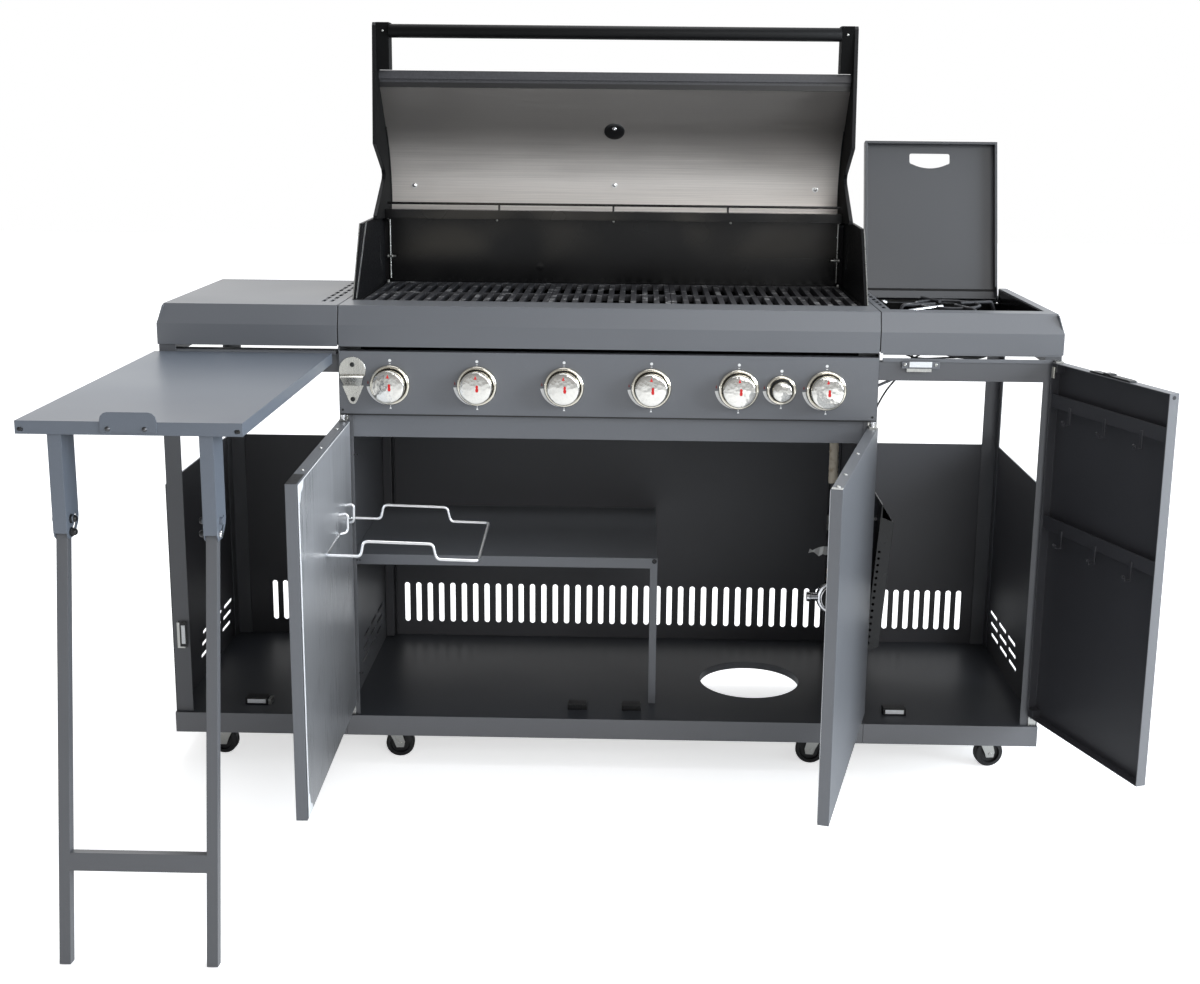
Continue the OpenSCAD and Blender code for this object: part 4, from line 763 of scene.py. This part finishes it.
def make_opener():
    """A pressed plate: round head, a folded hook across the middle, and a foot with a round tip."""
    x, z, y = -459, 737, panel_y
    plate = Shape()
    head = arc(x, z + 20, 24, -8, 188, 28) + at(x, z, [(-22, 9), (22, 9)])
    foot = [(x - 19, z - 8)] + arc(x, z - 34.5, 7.5, 205, 331, 14) + [(x + 20, z - 8)]
    for outline in (head, foot):
        plate.prism(outline, "y", y - 1.9, y - 0.3)
    plate.piece("opener_plate", opener_metal, bevel=0.5)
    fold = ((22, 0.4, 12.5), (22, 10.5, 11.2), (21, 13.6, 8.8), (15.5, 1.2, -9.4), (15.5, 0.4, -8.4),
            (20, 11.6, 8.2), (21, 9.8, 9.8), (22, 0.4, 10.6))
    hook = Shape().skin([[(x + s * across, y - out, z + up) for across, out, up in fold] for s in (-1, 1)])
    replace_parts(hook.piece("opener_hook", opener_metal, bevel=0.4), "bottle_opener")


make_knobs()
make_panel_details()
make_opener()


# ---- hood ----

# the round part of the hood as it stands open: its centre, its radius, how far it turns, and the liner's faces
hood_y, hood_z, hood_r, hood_turn = 237, 1030, 250, 40
liner_out, liner_in = 12, 13.2
hood_end = 459.5


def liner_line(inset, end_y):
    """The hood's sheet line in Y and Z, set in from the outside."""
    line = [(hood_y + hood_r - inset, 1014.3)] + arc(hood_y, hood_z, hood_r - inset, 0, hood_turn, hood_turn)
    last = line[-1]
    slope = radians(hood_turn)
    reach = (last[0] - end_y) / sin(slope)
    return line + [(end_y, last[1] + reach * cos(slope))]


def liner_y(z):
    return hood_y + sqrt((hood_r - liner_in) ** 2 - (z - hood_z) ** 2)


def make_hood_details():
    """The liner's sheet, a round grip, black strips of painted shade along the lips, the thermometer's plate and
    probe, and small fixings.
    """
    made = Shape().prism(liner_line(liner_out, 354) + liner_line(liner_in, 354)[::-1], "x", -hood_end, hood_end) \
        .piece("hood_liner_sheet", liner_metal, "hood", angle=25)
    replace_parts(made, "hood_liner")
    low, high = in_mm(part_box("hood_handle"))
    middle = [(a + b) / 2 for a, b in zip(low, high)]
    long = high[0] - low[0]
    made = Shape().turned([(12.4, 0), (13, 0.8), (13, long - 0.8), (12.4, long)],
                          (low[0], middle[1], middle[2]), (1, 0, 0), 64).piece("hood_grip", handle_paint, "hood")
    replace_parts(made, "hood_handle")
    # painted shade: black strips along the lip and beside the hood's ends stand for the shade there
    shade = Shape()
    shade.block((-459.4, 351.6, 1258.5), (459.4, 353.4, 1268))
    edge = liner_line(liner_in, 356)[1::2]
    for s in (-1, 1):
        shade.prism([(y - 1.0, z - 1.2) for y, z in edge] + [(y - 5.0, z - 4.2) for y, z in edge[::-1]],
                    "x", *span(s, 459.6, 457.6))
    shade.piece("hood_lip_painted_shade", black, "hood")
    # the thermometer's plate and probe on the liner
    z = 1176.7
    slope = asin((z - hood_z) / (hood_r - liner_in))
    out = (0, -cos(slope), -sin(slope))
    centre = (0, liner_y(z), z)
    Shape().turned([(20.5, 0), (20.5, 0.8), (19.2, 2.0), (15, 2.8), (0, 3.0)], centre, out).piece(
        "thermometer_plate", black, "hood")
    Shape().turned([(4.4, 2.6), (4.4, 5), (3.4, 6), (2.4, 6.2), (2.3, 11), (1.6, 12.4), (0, 13)],
                   (0, centre[1] - 3, z + 6), (0, -1, -0.2), 24).piece("thermometer_probe", chrome, "hood")
    Shape().studs([(6.2, -0.2), (6.0, 0.5), (4.0, 0.6), (3.8, 1.7), (2.6, 2.7), (0, 3.1)],
                  [(x, liner_y(z), z) for x, z in ((-412, 1063), (412, 1063), (0, 1068))]).piece(
        "liner_rivets", wire_metal, "hood")
    Shape().screws([(s * 447, 325, 1364) for s in (-1, 1)], 2.4, 1.2).piece("hood_arm_screws", zinc, "hood")


def make_firebox_details():
    """Plated bolts through the cheeks, bright strips on their front edges as a painted highlight, and the screws of
    the back wall.
    """
    bright = Shape()
    for s, y in ((-1, 407), (1, 413)):
        for z, reach in ((923, 17), (872, 3)):
            x = s * 459.4
            bright.turned([(4.0, 0), (4.0, 2.2), (2.4, 2.6), (2.4, 0.45 * reach), (4.2, 0.5 * reach),
                           (4.2, 0.5 * reach + 2.4), (2.4, 0.5 * reach + 2.6), (2.4, reach), (0, reach + 0.4)],
                          (x, y - (6 if z < 900 else 0), z), (-s, 0, 0), 18)
        # painted highlight: a bright strip along each cheek's front edge
        bright.prism([(91.6, 873), (92.6, 873), (179.8, 1005.6), (178.6, 1005.6)], "x", *span(s, 474, 472.2))
        bright.tube([(s * 456.6, 427.6, 876), (s * 456.6, 427.6, 996)], 1.7, 10)
    bright.screws([(x, 428, 996) for x in (-238, 0, 238)], 2.6, 1.4)
    bright.piece("cheek_screws_and_painted_highlights", zinc)
    ends = Shape()
    for s in (-1, 1):
        low, high = span(s, 452, 474)
        ends.block((low, 434.6, 984), (high, 436.6, 997))
    ends.piece("cheek_rear_plates", casting)
    Shape().prism([(97, 874), (108, 874), (226, 1004), (213, 1004)], "x", -467.9, -467.6).piece(
        "cheek_rub_strip", hem_metal)


make_hood_details()
make_firebox_details()


# ---- doors ----

door_top = 665
door_inside = -1.45


def door_liner(s):
    """The bare steel inside of the left door, where s is -1, or of the right one."""
    near, far = door_inside, door_inside + 0.7
    return Shape().prism([(s * 480.5, near), (s * 5.0, near), (s * 5.0, far), (s * 480.5, far)], "z", 122.5, 662.5)


def door_screws(places):
    """Screws along a door's top edge."""
    return Shape().screws([(x, pin_y, door_top) for x in places], 3.4, 1.6, (0, 0, 1))


def make_left_door_details():
    """The inside is a bare steel liner, darker lower down as painted shade, with a hem made white as a painted
    highlight; its top edge carries three screws.
    """
    door_liner(-1).piece("left_door_liner", door_metal, *on_left)
    # painted highlight: the hem along the free edge and the top is white
    hem = Shape().block((-9.6, door_inside, 123), (-5.4, door_inside + 1.6, 662))
    hem.block((-481, door_inside, 661.2), (-5, door_inside + 1.1, 662.8))
    hem.piece("left_door_hem_painted_highlight", pale_film, *on_left, bevel=0.4)
    corners = Shape()
    for outline in ([(-6, 634), (-6, 661), (-44, 661), (-40, 652), (-22, 646), (-16, 634)],
                    [(-6, 160), (-6, 124), (-36, 124), (-32, 136), (-20, 142), (-15, 160)]):
        corners.prism(outline, "y", door_inside + 0.2, door_inside + 1.9)
    corners.piece("left_door_corners", pale_film, *on_left, bevel=0.5)
    door_screws((-405, -251, -94)).piece("left_door_screws", zinc, *on_left)
    Shape().block((-66, -19.6, door_top), (-2.6, -2.4, door_top + 0.4)).piece(
        "left_door_end_cap", black, *on_left)


def make_right_door_details():
    """The same screws and liner, and a bright strip along the free edge."""
    door_screws((257, 102, 20)).piece("right_door_screws", zinc, *on_right)
    door_liner(1).piece("right_door_liner", door_metal, *on_right)
    hem = Shape().prism([(2.6, 120), (4.4, 120), (4.4, door_top), (2.6, door_top)], "y", -2.4, -1.6)
    hem.block((3, -19.8, door_top), (14, -2.2, door_top + 0.6))
    hem.piece("right_door_hem", hem_metal, *on_right, bevel=0.3)


def rounded(points, radius, steps=6):
    """Places along a wire whose corners are bent to a radius."""
    points = [Vector(p) for p in points]
    run = [points[0]]
    for before, corner, after in zip(points, points[1:], points[2:]):
        back, ahead = (before - corner), (after - corner)
        half = back.angle(ahead) / 2
        cut = min(radius / tan(half), 0.48 * min(back.length, ahead.length))
        start, end = corner + back.normalized() * cut, corner + ahead.normalized() * cut
        for k in range(steps + 1):
            t = k / steps
            run.append(start * (1 - t) ** 2 + corner * 2 * t * (1 - t) + end * t ** 2)
    return run + [points[-1]]


def make_wire_holder():
    """One bent wire: two hooks over the door's liner and a loop with a raised step in each side."""
    x, y, z, r = -455, -3.5, 490, 2.5
    wide, hook, sag = 238, 17, tan(radians(1.8))
    wire = [(x + a, y + b, z + c - sag * max(0, b - hook)) for a, b, c in (
        (38, 0.6, 33), (38, hook, 36), (38, hook, 2), (30, r, 0), (0, r, 0), (0, 60, 0), (0, 65, 26), (0, 180, 26),
        (0, 186, 0), (0, 255, 0), (wide, 255, 0), (wide, 186, 0), (wide, 180, 26), (wide, 65, 26), (wide, 60, 0),
        (wide, r, 0), (111, r, 0), (103, hook, 2), (103, hook, 36), (103, 0.6, 33))]
    made = Shape().tube(rounded(wire, 9), r, 14).piece("wire_holder_loop", wire_metal, *on_left)
    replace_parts(made, "wire_holder")


def make_side_door_details():
    """A dark skin of painted shade between the rails, hook tips in the same painted shade, the pull tab, a plug and a
    striker.
    """
    Shape().block((492.6, -18.4, 122), (805.4, -18.1, 786)).piece(
        "side_door_skin_of_painted_shade", painted_shade_coat, *on_side)
    Shape().studs([(2.6, -1.5), (2.6, 1.5)], [(553 + 98 * k, 9.6, z - 28.5) for z in (720, 497) for k in range(3)],
                  (1, 0, 0), 16).piece("side_door_hook_tips_in_painted_shade", painted_shade_coat, *on_side)
    Shape().prism([(592, 788.2), (700, 788.2), (700, 790.6), (694, 791.4), (664, 791.4), (662, 793.6), (646, 793.6),
                   (644, 791.4), (598, 791.4), (592, 790.6)], "y", -17, -3).piece(
        "side_door_pull", black, *on_side, bevel=0.5)
    Shape().turned([(3.4, -0.3), (3.2, 0.4), (2.2, 0.5), (0, 0.2)], (490, pin_y, 781), (-1, 0, 0), 24).piece(
        "side_door_plug", black, *on_side)
    Shape().block((796, -1.8, 761), (803, 1.0, 781)).piece(
        "side_door_striker", pale_metal, *on_side, bevel=0.6)


make_left_door_details()
make_right_door_details()
make_wire_holder()
make_side_door_details()


# ---- side lid and hose fittings ----

def make_side_lid():
    """A shallow hemmed pan with a finger slot whose lower edge is an arc, made shut and turned open."""
    x0, x1 = [corner[0] for corner in in_mm(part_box("side_lid"))]
    hinge_y, hinge_z = (v / mm for v in joints["side_lid_hinge"]["pos_m"][1:])
    deep, thick, wall, hem = 322, 20, 2, 5
    y0, top = hinge_y - deep, hinge_z + thick
    middle = (x0 + x1) / 2
    slot = (arc(middle - 37, y0 + 25, 4, 180, 270, 4) + arc(middle + 37, y0 + 25, 4, 270, 360, 4)
            + arc(middle + 36, y0 + 38, 5, 0, 62, 4) + arc(middle, y0 - 28, 79.5, 64, 116, 16)
            + arc(middle - 36, y0 + 38, 5, 118, 180, 4))
    lid = Shape().plate([(x0, y0), (x1, y0), (x1, hinge_y), (x0, hinge_y)], slot, top - wall, top)
    lid.block((x0, y0, hinge_z), (x1, y0 + wall, top - wall))
    lid.block((x0, hinge_y - wall, hinge_z), (x1, hinge_y, top - wall))
    for a, b in ((x0, x0 + wall), (x1 - wall, x1)):
        lid.block((a, y0 + wall, hinge_z), (b, hinge_y - wall, top - wall))
        lid.turned([(7, 0), (7, wall)], (a, hinge_y, hinge_z), (1, 0, 0), 28)
    for a, b in ((x0 + wall, x0 + hem), (x1 - hem, x1 - wall)):
        lid.block((a, y0 + hem, hinge_z), (b, hinge_y - 24, hinge_z + wall))
    lid.block((x0 + wall, y0 + wall, hinge_z), (x1 - wall, y0 + hem, hinge_z + wall))
    opened = swing((0, hinge_y, hinge_z), lid_turn, "X")
    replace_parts(lid.piece("side_lid_pan", paint_lid, "lid", opened), "side_lid")


def make_hose_fittings():
    """A crinkled sleeve, a crimped ferrule and a brass stem on the hose, over a round regulator."""
    x, y = 437, 200
    random.seed(7)
    rings, radii = [], []
    z = 594.0
    while z > 513:
        rings.append((x + random.uniform(-0.35, 0.35), y, z))
        radii.append(9.3 + random.uniform(-0.8, 0.2))
        z -= random.uniform(1.6, 4.5)
    rings.append((x, y, 513))
    radii.append(8.8)
    sleeve = Shape().tube(rings, radii, 28).piece("hose_sleeve", cream_cloth, angle=70)
    crimp = Shape().turned([(7.6, 0), (8.6, 0.6), (8.9, 3), (8.3, 5), (8.3, 7), (8.9, 8.4), (8.9, 11), (8.3, 12.6),
                            (8.3, 14.6), (8.9, 16), (8.9, 26), (8.4, 30.4), (7.6, 31)],
                           (x, y, 416), (0, 0, 1), 36).piece("hose_ferrule", zinc)
    stem = Shape().turned([(5.4, 0.3), (5.4, 6), (4.6, 7), (4.6, 12), (5.5, 13), (5.5, 24), (5.0, 25.7)],
                          (x, y, 314.3), (0, 0, 1), 30).piece("hose_stem", brass)
    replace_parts(stem, "hose_fittings")
    low, high = in_mm(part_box("gas_regulator"))
    r = (high[2] - low[2]) / 2
    centre = (high[0] - r, y, (low[2] + high[2]) / 2)
    case = [(r - inset, high) for inset, high in (
        (13, -13.8), (5, -6), (2.4, -3.6), (0.2, -1.4), (0.1, 1.4), (2.2, 3.6), (3, 7), (7, 7.6), (9, 10.5),
        (15, 12.2))]
    body = Shape().turned([(0, -16.8)] + case + [(0, 12.9)], centre, sides=72)
    body.turned([(9.6, 0), (9.9, 1), (9.9, 7), (8.6, 8), (8.6, 22)], (low[0], y, centre[2]), (1, 0, 0), 30)
    regulator = body.piece("regulator_body", chrome)
    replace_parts(regulator, "gas_regulator")
    face = Shape().turned([(r - 10, 10.2), (r - 11, 12.7), (r - 16, 12.9), (0, 12.95)], centre, sides=60).piece(
        "regulator_face", black)
    # a scrap of clear packing film caught round the hose
    folds = ((-6, -8.5, 9, 0, 376), (-14, -11, 8, 2, 378), (-22, -8, 9.5, 1, 374), (-30, -10, 3.4, 3, 377),
             (-36, -9, 1.6, 0, 375), (-41, -10, 4.6, 3, 376))
    film = Shape().skin([[(x + a, y + b - 0.2, z + c), (x + a, y + b + 0.2, z + c), (x + a - d, y + b + 0.2, z - c),
                          (x + a - d, y + b - 0.2, z - c)] for a, b, c, d, z in folds])
    film = film.piece("hose_film", clear_film, angle=20)


make_side_lid()
make_hose_fittings()


# ---- cabinet ----

def make_cabinet_details():
    """Catches of the three doors, small screws, and pale strips of painted highlight on the side panels' top edges.
    """
    pads, plates, ribs = Shape(), Shape(), Shape()
    for x in (-53, 50):
        pads.block((x - 18, 38.5, 98.1), (x + 18, 61.5, 108.6))
        for k in range(7):
            ribs.block((x - 15 + k * 4.6, 37.6, 99), (x - 12.6 + k * 4.6, 39, 108.9))
    pads.piece("floor_catches", black, bevel=0.8)
    ribs.piece("floor_catch_ribs", black, bevel=0.3)
    faces = Shape()
    for x in (550, -667):
        plates.block((x - 22, 38, 98.1), (x + 22, 60, 111.5))
        faces.block((x - 17.5, 37.3, 101), (x + 17.5, 38.2, 109))
    plates.piece("side_catch_cases", black, bevel=1.2)
    # the same catch stands on the left post and lies across the right rail
    Shape().block((-795, -5.0, 228), (-781, -3.9, 276)).piece("post_catch_case", black, bevel=0.8)
    faces.block((-791.5, -6.2, 234), (-784.5, -4.8, 270))
    Shape().block((524, -5.0, 772.8), (591, -3.8, 785.2)).piece("rail_catch_case", paint, bevel=0.6)
    faces.block((537, -6.6, 775.5), (577, -4.8, 785.5))
    faces.piece("catch_plates", pale_film, bevel=0.5)
    Shape().screws([(x, -4.9, 780) for x in (529.5, 584.5)], 3.0, 1.4).piece("rail_catch_screws", zinc)
    dots = Shape().screws([(x, 2, z) for x in (-455, -460) for z in (180, 400, 600)], 1.8, 0.8)
    dots.screw((90, 78, 383), 4.6, 2.0)
    dots.piece("flange_screws", black)
    # painted highlight: pale strips along the side panels' top edges
    top = in_mm(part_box("side_panels"))[1][2]
    lips = Shape()
    for s in (-1, 1):
        low, high = span(s, 808.2, 810.6)
        lips.block((low, 4, top - 1.5), (high, 445, top + 0.6))
    lips.piece("side_panel_painted_highlights", highlight_coat)


def make_table_details():
    """Plugs in the ends of the table's front edge and the screws of its pull tab."""
    Shape().studs([(2.9, -0.4), (2.9, 0.3), (2.0, 0.8), (0, 0.9)], [(x, -629, 775) for x in (-809, -501)],
                  sides=20).piece("table_plugs", black, "table")
    Shape().studs([(3.8, -0.4), (3.6, 0.6), (2.4, 1.9), (0, 2.3)], [(x, -630.6, 777) for x in (-684, -632)],
                  sides=20).piece("tab_screws", dark_metal, "table")


def make_leg_details():
    """Black domed nuts on the inner side of each leg, bright heads on the outer side."""
    middle, apart, y, z = -655, 107, -608.4, 641
    drop, lean = 19, radians(-8.6)
    low = (y + drop * sin(lean), z - drop * cos(lean))
    nuts, heads, slot_nuts, slot_heads = Shape(), Shape(), Shape(), Shape()
    nut = [(6.2, 0), (6.6, 1), (6.4, 2.6), (5.2, 3.2), (5.0, 6.5), (3.6, 8.6), (0, 9.4)]
    head = [(5.4, 0), (5.4, 1.2), (4.4, 2.8), (2.0, 3.6), (0, 3.7)]
    for s in (-1, 1):
        x = middle + s * apart
        nuts.turned(nut, (x - s * 10.2, y, z), (-s, 0, 0), 24)
        heads.turned(head, (x + s * 10.2, y, z), (s, 0, 0), 24)
        slot_nuts.turned(nut, (x - s * 10.4, *low), (-s, 0, 0), 24)
        slot_heads.turned(head, (x + s * 10.4, *low), (s, 0, 0), 24)
    nuts.piece("knee_nuts", black, "table")
    heads.piece("knee_heads", chrome, "table")
    slot_nuts.piece("slot_nuts", black, "legs")
    slot_heads.piece("slot_heads", chrome, "legs")


def make_seams():
    """Dark strips behind the seams of the worktop, and a shut back to the side burner's well."""
    strips = Shape()
    for s in (-1, 1):
        strips.prism([(3.2, 801), (3.2, 836), (13.5, 868), (84, 868), (84, 801)], "x", *span(s, 484.2, 486.6))
    strips.block((508, 414, 815), (782, 415, 869))
    strips.piece("seam_backing", black)


def make_frame_details():
    """Hems that narrow the slits under the shelves, rear corner posts, and collars on the door pins."""
    hems = Shape()
    hems.block((490, 0.2, 784), (795, 2.4, 790.6))
    hems.block((490.5, 0.2, 796.4), (806, 2.2, 799.6))
    hems.block((-795, 6, 783), (-490, 34, 789.6))
    hems.piece("rail_hems", paint)
    posts = Shape()
    for s in (-1, 1):
        for near, far, front in ((482.6, 464, 430), (461.5, 459.5, 438)):
            low, high = span(s, near, far)
            posts.block((low, front, 100), (high, 446, 676))
    posts.piece("rear_posts", paint_inside_as_painted_shade, bevel=1.2)
    Shape().studs([(5.6, 0), (5.6, 2.2), (3.3, 2.6), (3.3, 7.4), (5.0, 7.8), (5.0, 11.0), (3.3, 11.4)],
                  [(x, pin_y, door_top + 0.6) for x in (left_pin, right_pin)], (0, 0, 1)).piece("pin_collars", chrome)


def make_burner_details():
    """A bright igniter tube across the well and the pivot bolt at its left."""
    x, y = 645, 225
    bright = Shape()
    bright.tube([(552, 138, 858), (590, 160, 860), (627, 184, 862)], [2.4, 3.4, 3.0], 16)
    bright.screw((527, 240, 861), 6.0, 4.0, (0, -0.3, 1))
    bright.piece("burner_igniter", chrome)
    bars = Shape()
    for a in (20, 110, 200, 290):
        c, d = cos(radians(a)), sin(radians(a))
        bars.tube(rounded([(x + r * c, y + r * d, z) for r, z in ((28, 862), (96, 862), (104, 846))], 5), 3.4, 12)
    bars.tube([(u, v, 860) for u, v in arc(x, y, 60, 0, 350, 35)], 3.0, 12, closed=True)
    bars.piece("pan_support", iron)


make_cabinet_details()
make_table_details()
make_leg_details()
make_seams()
make_frame_details()
make_burner_details()


hose.data.materials.append(hose_skin)


# ---- studio ----

def make_studio():
    """A pale floor, a bright surround and three soft lamps."""
    world = bpy.data.worlds.new("studio")
    bpy.context.scene.world = world
    world.use_nodes = True
    tree = world.node_tree
    background = tree.nodes["Background"]
    path = Val(tree, tree.nodes.new("ShaderNodeLightPath").outputs["Is Camera Ray"])
    ray = Val(tree, tree.nodes.new("ShaderNodeTexCoord").outputs["Generated"])
    x, y, z = [Val(tree, out) for out in ray.node("ShaderNodeSeparateXYZ", i0=ray).outputs]
    # white paper behind, a window to the right, a dimmer room in front and to the left
    room = (0.34 + 0.85 * y.ramp(-0.1, 0.7) + 0.75 * x.ramp(0.25, 0.9)
            + 0.30 * (y * -1).ramp(0.3, 0.9) * z.ramp(0.3, -0.3))
    mix, white = {"data_type": "RGBA"}, (1, 1, 1, 1)
    sky = ray.out("ShaderNodeMix", mix, 2, i0=x.ramp(0.0, 0.8), i6=white, i7=(0.86, 0.93, 1, 1))
    put(tree, background.inputs["Color"], ray.out("ShaderNodeMix", mix, 2, i0=path, i6=sky, i7=white))
    put(tree, background.inputs["Strength"], path.most(room * (1 - path)))
    floor = bpy.data.meshes.new("floor")
    size = 12
    floor.from_pydata([(-size, -size, 0), (size, -size, 0), (size, size, 0), (-size, size, 0)], [], [(0, 1, 2, 3)])
    ground = placed("floor", floor)
    f = Finish("studio_floor")
    seen = Val(f.tree, f.tree.nodes.new("ShaderNodeLightPath").outputs["Is Camera Ray"])
    f.done(Base_Color=(0.86, 0.86, 0.86, 1), Roughness=0.9, Specular_IOR_Level=0.1,
           Emission_Color=white, Emission_Strength=0.62 * seen)
    floor.materials.append(f.material)
    for name, place, aim, size, power, tint in (
        ("window", (4.4, -1.4, 1.9), (0, 0, 0.7), 2.6, 235, (0.86, 0.93, 1.0)),
        ("front", (1.5, -4.2, 2.4), (0.3, 0, 0.7), 2.6, 68, (1, 1, 1)),
        ("top", (0, 0.7, 4.2), (0, 0.1, 0.8), 3.2, 72, (0.95, 0.97, 1.0)),
    ):
        lamp = bpy.data.lights.new(name, "AREA")
        lamp.shape = "DISK"
        lamp.size = size
        lamp.energy = power
        lamp.color = tint
        holder = placed(name, lamp)
        holder.location = place
        holder.rotation_mode = "QUATERNION"
        holder.rotation_quaternion = (Vector(aim) - Vector(place)).to_track_quat("-Z", "Y")


make_studio()
bpy.context.scene.view_settings.view_transform = "Standard"
